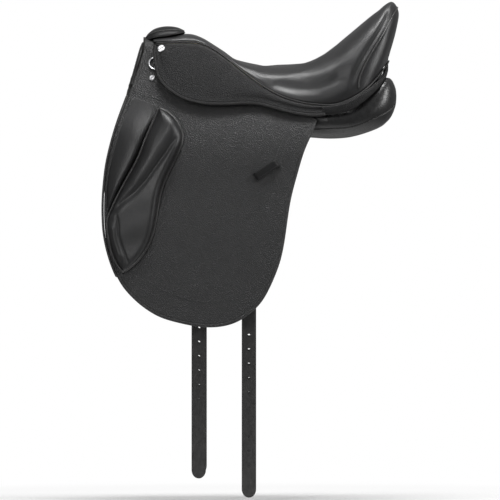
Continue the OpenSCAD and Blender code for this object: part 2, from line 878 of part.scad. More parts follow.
module billet(x, tip, holes_z) {
    levels = concat([billet_top, 60, 40], [for (z = [30:-5:billet_straight]) z], [tip - 5]);
    face = [for (z = levels) [-side_w(flap_face, x, max(z, billet_straight), billet_out), z]];
    color(leather)
        difference() {
            intersection() {
                across(x - billet_w / 2, x + billet_w / 2)
                    polygon(concat(face, [for (p = reversed(face)) [p[0] + billet_t, p[1]]]));
                rotate([90, 0, 0])
                    linear_extrude(400)
                        polygon(concat(
                            [[x - billet_w / 2, billet_top], [x + billet_w / 2, billet_top]],
                            [for (a = [0:15:180])
                                [x + billet_w / 2 * cos(a), tip + billet_tip_len * (1 - sin(a))]]
                        ));
            }
            for (i = [0:hole_count - 1])
                translate([x, 0, holes_z + (i - (hole_count - 1) / 2) * hole_pitch])
                    rotate([90, 0, 0]) cylinder(h = 400, d = hole_d);
        }
}

module billet_front() {
    billet(billet_front_x, billet_tip_front, holes_front_z);
}

module billet_rear() {
    billet(billet_rear_x, billet_tip_rear, holes_rear_z);
}

// ---------------------------------------------------------------- nodes

tree_frame();
gullet_plate();
at_side("left") spring_steel();  // spring_steel_left
at_side("right") spring_steel();  // spring_steel_right
seat_web_long();
seat_web_cross();
girth_web_front();
girth_web_rear();
seat_foam();
seat_cover();
seat_welt();
pommel_cap();
pommel_facing();
cantle_band();
at_side("left") panel();  // panel_left
at_side("right") panel();  // panel_right
at_side("left") flock();  // flock_left
at_side("right") flock();  // flock_right
at_side("left") point_pocket();  // point_pocket_left
at_side("right") point_pocket();  // point_pocket_right
at_side("left") stirrup_bar();  // stirrup_bar_left
at_side("right") stirrup_bar();  // stirrup_bar_right
at_side("left") bar_catch();  // bar_catch_left
at_side("right") bar_catch();  // bar_catch_right
catch_pins();
bar_rivets();
at_side("left") flap_top();  // flap_top_left
at_side("right") flap_top();  // flap_top_right
at_side("left") skirt_top();  // skirt_top_left
at_side("right") skirt_top();  // skirt_top_right
at_side("left") sweat_flap();  // sweat_flap_left
at_side("right") sweat_flap();  // sweat_flap_right
skirt_screws();
flap_screws();
dee_staples();
at_side("left") front_dee();  // front_dee_left
at_side("right") front_dee();  // front_dee_right
at_side("left") flap();  // flap_left
at_side("right") flap();  // flap_right
at_side("left") flap_welt();  // flap_welt_left
at_side("right") flap_welt();  // flap_welt_right
at_side("left") knee_roll();  // knee_roll_left
at_side("right") knee_roll();  // knee_roll_right
at_side("left") knee_block_cover();  // knee_block_cover_left
at_side("right") knee_block_cover();  // knee_block_cover_right
at_side("left") knee_block_foam();  // knee_block_foam_left
at_side("right") knee_block_foam();  // knee_block_foam_right
at_side("left") leather_keeper();  // leather_keeper_left
at_side("right") leather_keeper();  // leather_keeper_right
at_side("left") skirt();  // skirt_left
at_side("right") skirt();  // skirt_right
at_side("left") billet_front();  // billet_front_left
at_side("right") billet_front();  // billet_front_right
at_side("left") billet_rear();  // billet_rear_left
at_side("right") billet_rear();  // billet_rear_right
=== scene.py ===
"""Looks of a black dressage saddle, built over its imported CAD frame.  Shapes are worked out in
millimetres with -X at the pommel, -Y on the left side and Z up, and stored in metres."""
import math

import bpy
import numpy as np
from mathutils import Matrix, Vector
from mathutils.bvhtree import BVHTree


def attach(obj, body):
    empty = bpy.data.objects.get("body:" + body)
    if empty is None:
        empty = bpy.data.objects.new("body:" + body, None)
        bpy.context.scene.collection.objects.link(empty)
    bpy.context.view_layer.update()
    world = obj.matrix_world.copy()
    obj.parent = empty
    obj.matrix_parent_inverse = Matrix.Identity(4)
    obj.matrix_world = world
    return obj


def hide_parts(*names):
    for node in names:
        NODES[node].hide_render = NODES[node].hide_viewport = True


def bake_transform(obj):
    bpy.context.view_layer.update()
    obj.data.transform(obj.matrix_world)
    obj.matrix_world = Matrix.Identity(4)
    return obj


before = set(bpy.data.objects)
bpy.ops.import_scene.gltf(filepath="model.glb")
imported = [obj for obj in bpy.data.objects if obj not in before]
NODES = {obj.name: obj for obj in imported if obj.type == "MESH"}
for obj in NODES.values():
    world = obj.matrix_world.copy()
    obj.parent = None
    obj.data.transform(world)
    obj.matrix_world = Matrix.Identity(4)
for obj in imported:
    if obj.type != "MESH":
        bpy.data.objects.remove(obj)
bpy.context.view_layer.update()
MM = 0.001


# ---------------------------------------------------------------- curves


def mix(a, b, t):
    return a + (b - a) * t


def unit(v):
    v = np.asarray(v, float)
    return v / np.maximum(np.linalg.norm(v, axis=-1, keepdims=True), 1e-9)


def curve_at(rows, s):
    """Points of the smooth curve through the control rows, at s from 0 to 1."""
    rows = np.asarray(rows, float)
    n = len(rows) - 1
    s = np.asarray(s, float)
    i = np.clip(np.floor(s * n).astype(int), 0, n - 1)
    t = (s * n - i)[..., None]
    p0, p1 = rows[np.maximum(i - 1, 0)], rows[i]
    p2, p3 = rows[i + 1], rows[np.minimum(i + 2, n)]
    return 0.5 * (
        2 * p1
        + (p2 - p0) * t
        + (2 * p0 - 5 * p1 + 4 * p2 - p3) * t**2
        + (3 * p1 - p0 - 3 * p2 + p3) * t**3
    )


def resampled(points, count):
    """The same line with count points at even distances along it."""
    points = np.asarray(points, float)
    steps = np.r_[0, np.cumsum(np.linalg.norm(np.diff(points, axis=0), axis=1))]
    at = np.linspace(0, steps[-1], count)
    return np.stack([np.interp(at, steps, points[:, k]) for k in range(points.shape[1])], 1)


def smooth_curve(rows, count):
    return resampled(curve_at(rows, np.linspace(0, 1, 12 * len(rows))), count)


def smoothed(points, times, closed=False):
    """Each point moved towards its neighbours, the ends of an open line held."""
    points = np.array(points, float)
    for _ in range(times):
        around = (np.roll(points, 1, 0) + np.roll(points, -1, 0)) / 2
        kept = points if closed else points.copy()
        points = (points + around) / 2
        if not closed:
            points[0], points[-1] = kept[0], kept[-1]
    return points


def line_distance(points, line):
    """Distance in a plane from each point to a polyline, and how far along it the nearest is."""
    points = np.asarray(points, float)
    best = np.full(points.shape[:-1], 1e9)
    along = np.zeros(points.shape[:-1])
    for k, (a, b) in enumerate(zip(line[:-1], line[1:])):
        d = b - a
        t = np.clip(((points - a) @ d) / (d @ d), 0, 1)
        gap = np.linalg.norm(points - (a + t[..., None] * d), axis=-1)
        along = np.where(gap < best, (k + t) / (len(line) - 1), along)
        best = np.minimum(best, gap)
    return best, along


def hollow(points, rows, depth, width):
    """Depth of a soft furrow that follows a curve, fading out at both its ends."""
    gap, along = line_distance(points, smooth_curve(rows, 24))
    fade = np.clip(np.minimum(along, 1 - along) * 6, 0, 1)
    return depth * fade * np.exp(-((gap / width) ** 2))


def ripple(points, size, seed):
    """Soft unevenness between -1 and 1, from a few waves in fixed directions."""
    rng = np.random.default_rng(seed)
    total = np.zeros(np.asarray(points).shape[:-1])
    for _ in range(7):
        wave = unit(rng.normal(size=3)) * rng.uniform(0.6, 1.7) / size * 2 * math.pi
        total = total + np.sin(np.asarray(points) @ wave + rng.uniform(0, 6.28))
    return total / 4


# ---------------------------------------------------------------- meshes


def new_piece(name, points, faces, material, body=None, slot=None):
    """A smooth-shaded mesh piece from points in millimetres."""
    mesh = bpy.data.meshes.new(name)
    mesh.from_pydata((np.asarray(points, float).reshape(-1, 3) * MM).tolist(), [], faces)
    mesh.shade_smooth()
    mesh.materials.append(material)
    obj = bpy.data.objects.new(name, mesh)
    bpy.context.scene.collection.objects.link(obj)
    if body:
        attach(obj, body)
    return obj


def points_of(obj):
    co = np.zeros(len(obj.data.vertices) * 3)
    obj.data.vertices.foreach_get("co", co)
    return co.reshape(-1, 3) / MM


def set_points(obj, points):
    obj.data.vertices.foreach_set("co", (np.asarray(points) * MM).astype(np.float32).ravel())
    obj.data.update()


def mirrored(obj, name, body=None):
    """The right-hand twin of a left-hand piece."""
    twin = obj.copy()
    twin.data = obj.data.copy()
    twin.name = twin.data.name = name
    twin.parent = None
    bpy.context.scene.collection.objects.link(twin)
    points = points_of(twin)
    points[:, 1] *= -1
    set_points(twin, points)
    twin.data.flip_normals()
    if body:
        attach(twin, body)
    return twin


def grid_faces(n, m, wrap=False, base=0):
    """Quads over n rows of m points; wrap joins each row's last point to its first."""
    across = m if wrap else m - 1
    return [
        (base + i * m + j, base + i * m + (j + 1) % m, base + (i + 1) * m + (j + 1) % m,
         base + (i + 1) * m + j)
        for i in range(n - 1)
        for j in range(across)
    ]


def rings_mesh(rings):
    """Points and faces of the closed skin through a row of closed rings."""
    n, m = rings.shape[:2]
    points = np.concatenate([rings.reshape(-1, 3), rings[[0, -1]].mean(axis=1)])
    faces = grid_faces(n, m, wrap=True)
    for j in range(m):
        b = (j + 1) % m
        faces.append((n * m, b, j))
        faces.append((n * m + 1, (n - 1) * m + j, (n - 1) * m + b))
    return points, faces


def face_out(obj):
    """Makes a closed mesh's faces look outward."""
    obj.data.update()
    points = points_of(obj)
    volume = 0.0
    for poly in obj.data.polygons:
        v = points[list(poly.vertices)]
        for k in range(1, len(v) - 1):
            volume += np.dot(v[0], np.cross(v[k], v[k + 1]))
    if volume < 0:
        obj.data.flip_normals()
    return obj


def frames_along(path):
    """Side and up vectors along a path, turned as little as possible."""
    tangents = unit(np.gradient(np.asarray(path, float), axis=0))
    up = np.array((0, 0, 1.0))
    sides, ups = [], []
    for t in tangents:
        up = unit(up - t * (up @ t))
        sides.append(np.cross(t, up))
        ups.append(up)
    return np.array(sides), np.array(ups)


def tube(name, path, radius, material, body, slot, sides=10):
    """A cord along a path, its ends drawn in."""
    path = np.asarray(path, float)
    side, up = frames_along(path)
    turn = np.linspace(0, 2 * math.pi, sides, endpoint=False)
    ring = np.cos(turn)[None, :, None] * side[:, None] + np.sin(turn)[None, :, None] * up[:, None]
    size = np.full(len(path), radius)
    size[[0, -1]] *= 0.5
    points, faces = rings_mesh(path[:, None] + ring * size[:, None, None])
    return face_out(new_piece(name, points, faces, material, body, slot))


def strap(name, path, normals, widths, thickness, material, body, slot, crown=0.0, sides=20):
    """A strip with rounded edges along a path; normals point out of its face."""
    path = np.asarray(path, float)
    tangents = unit(np.gradient(path, axis=0))
    normals = unit(normals - tangents * np.sum(normals * tangents, 1, keepdims=True))
    across = np.cross(tangents, normals)
    turn = np.linspace(0, 2 * math.pi, sides, endpoint=False)
    c, s = np.cos(turn), np.sin(turn)
    flat = np.sign(c) * np.abs(c) ** 0.45
    thin = np.sign(s) * np.abs(s) ** 0.6
    bulge = crown * (1 - flat**2) * (s > 0)
    widths = np.broadcast_to(widths, len(path))
    rings = (
        path[:, None]
        + across[:, None] * (flat[None, :] * widths[:, None] / 2)[..., None]
        + normals[:, None] * (thin * thickness / 2 + bulge)[None, :, None]
    )
    points, faces = rings_mesh(rings)
    return face_out(new_piece(name, points, faces, material, body, slot))


# Rings of one stitch: place along it, share of its radius, and lift off the leather in radii
STITCH_RINGS = [(-0.5, 0.35, -0.3), (-0.25, 1, 0.25), (0.25, 1, 0.25), (0.5, 0.35, -0.3)]
STITCH_SIDES = 6


def stitches(name, path, normals, material, body, slot, pitch=3.4, length=2.5, radius=0.4):
    """A row of separate thread stitches lying along a path."""
    path = np.asarray(path, float)
    total = np.linalg.norm(np.diff(path, axis=0), axis=1).sum()
    count = max(2, int(total / pitch))
    both = resampled(np.hstack([path, np.broadcast_to(normals, path.shape)]), count)
    middle, out = both[:, :3], unit(both[:, 3:])
    along = unit(np.gradient(middle, axis=0))
    side = unit(np.cross(along, out))
    rows = []
    for share, size, lift in STITCH_RINGS:
        for a in np.linspace(0, 2 * math.pi, STITCH_SIDES, endpoint=False):
            rows.append((share * length, size * radius * math.cos(a), (size * math.sin(a) + lift) * radius))
    shape = np.array(rows)
    points = (
        middle[:, None]
        + along[:, None] * shape[None, :, :1]
        + side[:, None] * shape[None, :, 1:2]
        + out[:, None] * shape[None, :, 2:]
    )
    faces = []
    last = len(rows) - STITCH_SIDES
    for k in range(count):
        base = k * len(rows)
        faces += grid_faces(len(STITCH_RINGS), STITCH_SIDES, wrap=True, base=base)
        faces.append(tuple(base + i for i in reversed(range(STITCH_SIDES))))
        faces.append(tuple(base + last + i for i in range(STITCH_SIDES)))
    return new_piece(name, points, faces, material, body, slot)


def snapped(path, obj, lift):
    """The path laid on a piece's surface, raised by lift, with the surface normals there."""
    tree = BVHTree.FromPolygons(
        [Vector(p) for p in points_of(obj)], [list(f.vertices) for f in obj.data.polygons]
    )
    found = [tree.find_nearest(Vector(p)) for p in path]
    normals = np.array([list(f[1]) for f in found])
    return np.array([list(f[0]) for f in found]) + lift * normals, normals


CLOTH_STIFFNESS = 12.0
CLOTH_FRAMES = 20


def puff(obj, held, pressure, cap):
    """Blows a padded piece up with cloth, by cap millimetres at most, holding some vertices."""
    rest = points_of(obj)
    group = obj.vertex_groups.new(name="held")
    group.add([int(i) for i in np.flatnonzero(held)], 1.0, "REPLACE")
    cloth = obj.modifiers.new("cloth", "CLOTH")
    cloth.settings.vertex_group_mass = "held"
    cloth.settings.use_pressure = True
    cloth.settings.uniform_pressure_force = pressure
    cloth.settings.tension_stiffness = CLOTH_STIFFNESS
    cloth.settings.compression_stiffness = CLOTH_STIFFNESS
    cloth.settings.shear_stiffness = CLOTH_STIFFNESS
    cloth.settings.bending_stiffness = 2.0
    cloth.settings.effector_weights.gravity = 0
    cloth.collision_settings.use_collision = False
    cloth.point_cache.frame_start = 1
    cloth.point_cache.frame_end = CLOTH_FRAMES
    scene = bpy.context.scene
    for number in range(1, CLOTH_FRAMES + 1):
        scene.frame_set(number)
    blown = obj.evaluated_get(bpy.context.evaluated_depsgraph_get())
    co = np.zeros(len(blown.data.vertices) * 3)
    blown.data.vertices.foreach_get("co", co)
    move = co.reshape(-1, 3) / MM - rest
    size = np.linalg.norm(move, axis=1, keepdims=True)
    obj.modifiers.remove(cloth)
    obj.vertex_groups.remove(group)
    scene.frame_set(1)
    set_points(obj, rest + move * np.minimum(1, cap / np.maximum(size, 1e-6)))


def with_modifier(obj, kind, **settings):
    modifier = obj.modifiers.new(kind.lower(), kind)
    for key, value in settings.items():
        setattr(modifier, key, value)


# ---------------------------------------------------------------- materials


def shader(name):
    material = bpy.data.materials.new(name)
    material.use_nodes = True
    return material, material.node_tree, material.node_tree.nodes["Principled BSDF"]


def node(tree, kind, inputs=None, **settings):
    """A shader node with its settings and inputs, each a value or another node's output."""
    made = tree.nodes.new("ShaderNode" + kind)
    for key, value in settings.items():
        setattr(made, key, value)
    for key, value in (inputs or {}).items():
        if isinstance(value, bpy.types.NodeSocket):
            tree.links.new(value, made.inputs[key])
        else:
            made.inputs[key].default_value = value
    return made


def maths(tree, operation, a, b=0.0):
    return node(tree, "Math", {0: a, 1: b}, operation=operation).outputs[0]


def ramp(tree, factor, low, high):
    """A value that runs from 0 to 1 as factor goes from low to high."""
    return node(tree, "MapRange", {"Value": factor, "From Min": low, "From Max": high}).outputs[0]


def place(tree, scale=(1, 1, 1)):
    coords = node(tree, "TexCoord")
    return node(tree, "Mapping", {"Vector": coords.outputs["Object"], "Scale": scale}).outputs[0]


def noise_value(tree, where, scale, detail=3.0, rough=0.55):
    inputs = {"Vector": where, "Scale": scale, "Detail": detail, "Roughness": rough}
    return node(tree, "TexNoise", inputs).outputs[0]


def blend_colour(tree, factor, low, high):
    made = node(tree, "Mix", {0: factor, 6: (*low, 1), 7: (*high, 1)}, data_type="RGBA")
    return made.outputs[2]


GRAIN_STRETCH = (1, 1, 0.7)
CREASE_STRETCH = (2.4, 1, 0.8)
GRAIN_WARP = 0.7 * MM
RUBBED = (0.06, 0.058, 0.056, 1)


def leather(name, tint=0.011, rough=0.42, cell=1.5, depth=0.09, crease=0.15, coat=0.0, worn=0.5,
            glint=0.5):
    """Black leather: pebbled grain of cell millimetres, soft creases, lighter rubbed edges."""
    material, tree, bsdf = shader(name)
    where = place(tree, GRAIN_STRETCH)
    drift = node(tree, "TexNoise", {"Vector": where, "Scale": 500.0, "Detail": 2.0}).outputs[1]
    drift = node(tree, "VectorMath", {0: drift, 1: [GRAIN_WARP] * 3}, operation="MULTIPLY").outputs[0]
    warped = node(tree, "VectorMath", {0: where, 1: drift}, operation="ADD").outputs[0]
    cells = node(tree, "TexVoronoi", {"Vector": warped, "Scale": 1 / (cell * MM)},
                 feature="DISTANCE_TO_EDGE").outputs[0]
    pebble = ramp(tree, cells, 0.0, 0.22)
    fine = noise_value(tree, where, 2600.0, 4.0)
    broad = noise_value(tree, where, 120.0, 4.0, 0.6)
    long_crease = noise_value(tree, place(tree, CREASE_STRETCH), 34.0, 5.0, 0.62)
    edge = ramp(tree, node(tree, "NewGeometry").outputs["Pointiness"], 0.505, 0.56)
    rubbed = maths(tree, "MULTIPLY", edge, maths(tree, "MULTIPLY", broad, worn))
    shade = maths(tree, "ADD", maths(tree, "MULTIPLY", broad, 0.5), maths(tree, "MULTIPLY", pebble, 0.4))
    dark, light = [tint * 0.7] * 3, [tint * 1.5, tint * 1.5, tint * 1.6]
    colour = blend_colour(tree, shade, dark, light)
    final = node(tree, "Mix", {0: rubbed, 6: colour, 7: RUBBED}, data_type="RGBA")
    tree.links.new(final.outputs[2], bsdf.inputs["Base Color"])
    shine = maths(tree, "ADD", maths(tree, "MULTIPLY", broad, 0.16), rough - 0.08)
    shine = maths(tree, "SUBTRACT", shine, maths(tree, "MULTIPLY", pebble, 0.05))
    tree.links.new(shine, bsdf.inputs["Roughness"])
    height = maths(tree, "MULTIPLY", pebble, depth)
    height = maths(tree, "ADD", height, maths(tree, "MULTIPLY", fine, depth * 0.35))
    height = maths(tree, "ADD", height, maths(tree, "MULTIPLY", broad, crease))
    height = maths(tree, "ADD", height, maths(tree, "MULTIPLY", long_crease, crease * 2.2))
    bump = node(tree, "Bump", {"Height": height, "Distance": MM, "Strength": 1.0})
    tree.links.new(bump.outputs[0], bsdf.inputs["Normal"])
    bsdf.inputs["Specular IOR Level"].default_value = glint
    bsdf.inputs["Coat Weight"].default_value = coat
    bsdf.inputs["Coat Roughness"].default_value = 0.22
    return material


PRESSED_INSET = 2.6


def strap_leather(name, centre_x, half_width):
    """Strap leather with a pressed line inside each long edge."""
    material = leather(name, tint=0.008, rough=0.5, cell=1.0, depth=0.05, crease=0.06, worn=0.5, glint=0.35)
    tree = material.node_tree
    bsdf = tree.nodes["Principled BSDF"]
    x = node(tree, "SeparateXYZ", {0: place(tree)}).outputs[0]
    gap = maths(tree, "ABSOLUTE", maths(tree, "SUBTRACT", x, centre_x * MM))
    off = maths(tree, "ABSOLUTE", maths(tree, "SUBTRACT", gap, (half_width - PRESSED_INSET) * MM))
    line = ramp(tree, off, 0.0, 0.0006)
    bump = node(tree, "Bump", {
        "Height": line, "Distance": 0.5 * MM, "Strength": 1.0,
        "Normal": bsdf.inputs["Normal"].links[0].from_socket})
    tree.links.new(bump.outputs[0], bsdf.inputs["Normal"])
    return material


def metal(name, colour, rough):
    """Plated steel with fine scratches and handling marks."""
    material, tree, bsdf = shader(name)
    where = place(tree)
    smear = noise_value(tree, where, 160.0, 5.0)
    scratch = noise_value(tree, place(tree, (1, 1, 9)), 900.0, 2.0)
    tree.links.new(blend_colour(tree, smear, [c * 0.8 for c in colour], colour), bsdf.inputs["Base Color"])
    shine = maths(tree, "ADD", maths(tree, "MULTIPLY", smear, 0.18), rough - 0.06)
    tree.links.new(shine, bsdf.inputs["Roughness"])
    bump = node(tree, "Bump", {"Height": scratch, "Distance": 0.03 * MM, "Strength": 0.6})
    tree.links.new(bump.outputs[0], bsdf.inputs["Normal"])
    bsdf.inputs["Metallic"].default_value = 1.0
    return material


THREAD_PITCH = 1.1


def woven(name, colour):
    """Cotton webbing: a plain weave with fuzzy threads."""
    material, tree, bsdf = shader(name)
    where = place(tree)
    threads = {"Vector": where, "Scale": 1 / (THREAD_PITCH * MM) / 3.2, "Distortion": 0.4}
    heights = [node(tree, "TexWave", threads, bands_direction=axis).outputs[1] for axis in "XY"]
    weave = maths(tree, "MAXIMUM", *heights)
    fuzz = noise_value(tree, where, 1500.0, 4.0)
    shade = blend_colour(tree, maths(tree, "MULTIPLY", weave, fuzz), [c * 0.55 for c in colour], colour)
    tree.links.new(shade, bsdf.inputs["Base Color"])
    bump = node(tree, "Bump", {"Height": maths(tree, "ADD", weave, fuzz), "Distance": 0.3 * MM})
    tree.links.new(bump.outputs[0], bsdf.inputs["Normal"])
    bsdf.inputs["Roughness"].default_value = 0.9
    bsdf.inputs["Sheen Weight"].default_value = 0.3
    return material


def speckled(name, low, high, scale, height, rough=0.85):
    """Thread, foam or grained wood, from stretched noise."""
    material, tree, bsdf = shader(name)
    spots = noise_value(tree, place(tree, scale), 1.0, 6.0, 0.65)
    tree.links.new(blend_colour(tree, ramp(tree, spots, 0.3, 0.7), low, high), bsdf.inputs["Base Color"])
    bump = node(tree, "Bump", {"Height": spots, "Distance": height * MM})
    tree.links.new(bump.outputs[0], bsdf.inputs["Normal"])
    bsdf.inputs["Roughness"].default_value = rough
    return material


SEAT_LEATHER = leather("seat_leather", rough=0.4, cell=0.9, depth=0.03, crease=0.03, glint=0.4)
CAP_LEATHER = leather("cap_leather", 0.006, rough=0.46, cell=1.3, depth=0.06, crease=0.12, glint=0.18)
SKIRT_LEATHER = leather("skirt_leather", 0.006, rough=0.5, cell=2.5, depth=0.3, crease=0.22, glint=0.16)
FLAP_LEATHER = leather("flap_leather", 0.009, rough=0.48, cell=2.7, depth=0.4, crease=0.3, glint=0.45)
BLOCK_LEATHER = leather("block_leather", 0.009, rough=0.46, cell=1.0, depth=0.04, crease=0.1, glint=0.45)
PANEL_LEATHER = leather("panel_leather", 0.007, rough=0.33, cell=0.9, depth=0.03, crease=0.03, coat=0.08)
UNDER_LEATHER = leather("under_leather", tint=0.012, rough=0.6, cell=1.2, depth=0.06, crease=0.1, glint=0.3)
PIPING = leather("piping", tint=0.01, rough=0.4, cell=0.8, depth=0.02, crease=0.04, worn=0.6, glint=0.4)
THREAD = speckled("thread", (0.012, 0.012, 0.013), (0.05, 0.05, 0.052), (3000, 3000, 3000), 0.05, 0.6)
NICKEL = metal("nickel", (0.9, 0.9, 0.92), 0.3)
STEEL = metal("steel", (0.45, 0.46, 0.48), 0.38)
WEB = woven("webbing", (0.72, 0.68, 0.58))
FOAM = speckled("foam", (0.62, 0.55, 0.34), (0.8, 0.73, 0.5), (900, 900, 900), 0.3)
WOOD = speckled("wood", (0.35, 0.2, 0.09), (0.6, 0.4, 0.2), (60, 500, 500), 0.15, 0.45)


# ---------------------------------------------------------------- side surfaces

# Half-width, splay, slope, hang; the bend lies between +BEND and -BEND
FLAP = (136.0, 0.105, 0.35, 0.08)
SKIRT = (154.0, 0.055, 0.45, 0.45)
BEND = 30.0


def side_width(face, x, z):
    """Half-width of a side surface and its slope in z."""
    rise = np.where(z > BEND, z, np.where(z < -BEND, 0, (z + BEND) ** 2 / (4 * BEND)))
    grade = np.where(z > BEND, 1, np.where(z < -BEND, 0, (z + BEND) / (2 * BEND)))
    half, splay, slope, hang = face
    return half - hang * z - (slope - hang) * rise + splay * x, -hang - (slope - hang) * grade


def laid(face, flat, out=0.0):
    """Points (x, z) laid on the left side surface, raised by out, and the normals there."""
    flat = np.asarray(flat, float)
    x, z = flat[..., 0], flat[..., 1]
    width, grade = side_width(face, x, z)
    normals = unit(np.stack([np.full(x.shape, -face[1]), np.full(x.shape, -1.0), -grade], -1))
    points = np.stack([x, -width, z], -1) + normals * np.asarray(out, float)[..., None]
    return points, normals


def inward(line, closed):
    """Unit normals of a flat line, to the left of its direction."""
    if closed:
        t = np.roll(line, -1, 0) - np.roll(line, 1, 0)
    else:
        t = np.gradient(line, axis=0)
    t = unit(t)
    return np.stack([-t[:, 1], t[:, 0]], -1)


# Inset from a leather edge and height over the middle of the sheet: rounded edge, pressed line
EDGE_OUT = [(14, 0), (9, 0), (7, 0), (6.2, -0.1), (5.6, -0.7), (5.0, -0.1), (4.2, 0), (2.4, -0.05),
            (1.2, -0.3), (0.4, -0.9), (0, -1.7)]
EDGE_IN = [(0, 1.6), (0.5, 0.6), (1.6, 0.1), (6, 0), (14, 0)]


# Rings of the sheet inside its edge, as shares of the way out from its centre
SPREAD = [0.97, 0.9, 0.8, 0.68, 0.55, 0.42, 0.3, 0.18, 0.08]


def leather_sheet(name, face, outline, centre, thickness, material, slot):
    """A sheet cut to a closed outline (x, z) round centre and laid on a side surface."""
    line = np.asarray(outline, float)
    area = np.sum(line[:, 0] * np.roll(line[:, 1], -1) - np.roll(line[:, 0], -1) * line[:, 1])
    line = line if area > 0 else line[::-1]
    normals = inward(line, True)
    centre = np.asarray(centre, float)
    reach = EDGE_OUT[0][0]
    inner = smoothed(line + normals * reach, 40, closed=True)
    rings = []
    for share in reversed(SPREAD):
        rings.append((centre + (inner - centre) * share, 0))
    for inset, height in EDGE_OUT:
        rings.append((mix(line, inner, inset / reach), height))
    for inset, height in EDGE_IN:
        rings.append((mix(line, inner, inset / reach), -thickness + height))
    for share in SPREAD:
        rings.append((centre + (inner - centre) * share, -thickness))
    solid = []
    for flat, height in rings:
        lift = height + 0.5 * ripple(np.c_[flat, 0 * flat[:, 0]], 150, 1)
        solid.append(laid(face, flat, lift)[0])
    points, faces = rings_mesh(np.array(solid))
    return face_out(new_piece(name, points, faces, material, slot=slot))


def flap_stitches(name, rows):
    """A row of stitches on the left flap and its twin on the right one."""
    points, normals = laid(FLAP, smooth_curve(rows, 160), 0.1)
    row = stitches(f"{name}_left", points, normals, THREAD, "flap_left", "flap_leather")
    mirrored(row, f"{name}_right", "flap_right")


# ---------------------------------------------------------------- seat

# Stations from pommel to the foot of the cantle: crest x z, seam x z, seam half-width, core x z
SEAT_ROWS = [
    (-183, 188, -181, 181, 54, -183, 110), (-150, 192, -150, 182, 62, -150, 105),
    (-118, 197.5, -120, 182, 64, -120, 100), (-92, 190.6, -96, 180.5, 66, -95, 95),
    (-62, 171, -70, 170, 72, -66, 85), (-32, 151, -42, 150.5, 83, -36, 70),
    (0, 140.4, -12, 125.5, 96, -4, 60), (40, 136.5, 25, 98, 111, 32, 50),
    (80, 139.5, 60, 79, 121, 70, 45), (120, 150, 95, 68, 128, 108, 45),
    (160, 173, 128, 63.5, 132, 140, 55), (200, 206.5, 162, 64, 134, 170, 75),
    (238, 240, 192, 76, 132, 190, 100), (267, 261, 216, 92, 124, 205, 120),
    (281, 240, 234, 110, 110, 212, 130), (276, 205, 247, 127, 88, 215, 135),
    (268, 178, 256, 139, 58, 218, 138), (261, 153, 261, 149, 7, 220, 142),
]
DISH = 0.13
DISH_SPAN = (0.42, 0.84)
DISH_REACH = 0.6
CREST_POWER = 3.4


def crown(u, s):
    """Height share of the seat's cross-section at s (0 centre, 1 seam)."""
    along = np.clip((u - DISH_SPAN[0]) / (DISH_SPAN[1] - DISH_SPAN[0]), 0, 1)
    dish = DISH * np.sin(along * math.pi)
    dip = np.where(s < DISH_REACH, (1 - (s / DISH_REACH) ** 2) ** 2, 0)
    return (np.sqrt(np.maximum(0, 1 - s**CREST_POWER)) - dish * dip) / (1 - 0.3 * dish)


def seat_point(u, phi, depth=0.0):
    """Points of the seat at u along and phi across (-90 to 90), sunk by depth."""
    u, phi = np.broadcast_arrays(np.asarray(u, float), np.radians(np.asarray(phi, float)))
    r = curve_at(SEAT_ROWS, u)
    share = crown(u, np.abs(np.sin(phi)))
    p = np.stack([mix(r[..., 2], r[..., 0], share), r[..., 4] * np.sin(phi),
                  mix(r[..., 3], r[..., 1], share)], -1)
    core = np.stack([r[..., 5], 0 * u, r[..., 6]], -1)
    return p + np.asarray(depth, float)[..., None] * unit(core - p)


def seam_line(count, drop, start=0.0, end=1.0):
    """Side view of the seat's lower edge, moved away from the seat by drop."""
    u = np.linspace(start, end, count)
    r = curve_at(SEAT_ROWS, u)
    t = unit(np.gradient(r[:, 2:4], axis=0))
    return r[:, 2:4] + drop * np.stack([t[:, 1], -t[:, 0]], -1), r[:, 4]


# Side view of the corded seam round the cantle, and of the pressed seam ahead of it
CANTLE_CORD = [(203, 90), (204, 109), (213, 131), (229, 161), (246, 188), (261, 214), (271, 236),
               (277, 249)]
CANTLE_SEAM = [(190, 82), (192, 104), (201, 129), (217, 158), (233, 184), (247, 208), (258, 232),
               (262, 256)]
# Shallow valley along the seat's flank, and the roll below it, just above the skirt
SEAT_VALLEY = [(20, 110), (60, 98), (90, 94), (120, 96), (150, 104), (172, 117), (188, 132)]
SEAT_ROLL = [(40, 96), (70, 78), (100, 70), (130, 71), (155, 77), (178, 88), (196, 106), (205, 124)]

CANTLE_START = 170
FILLING_DEPTH = 9.0
FILLING_T = 12


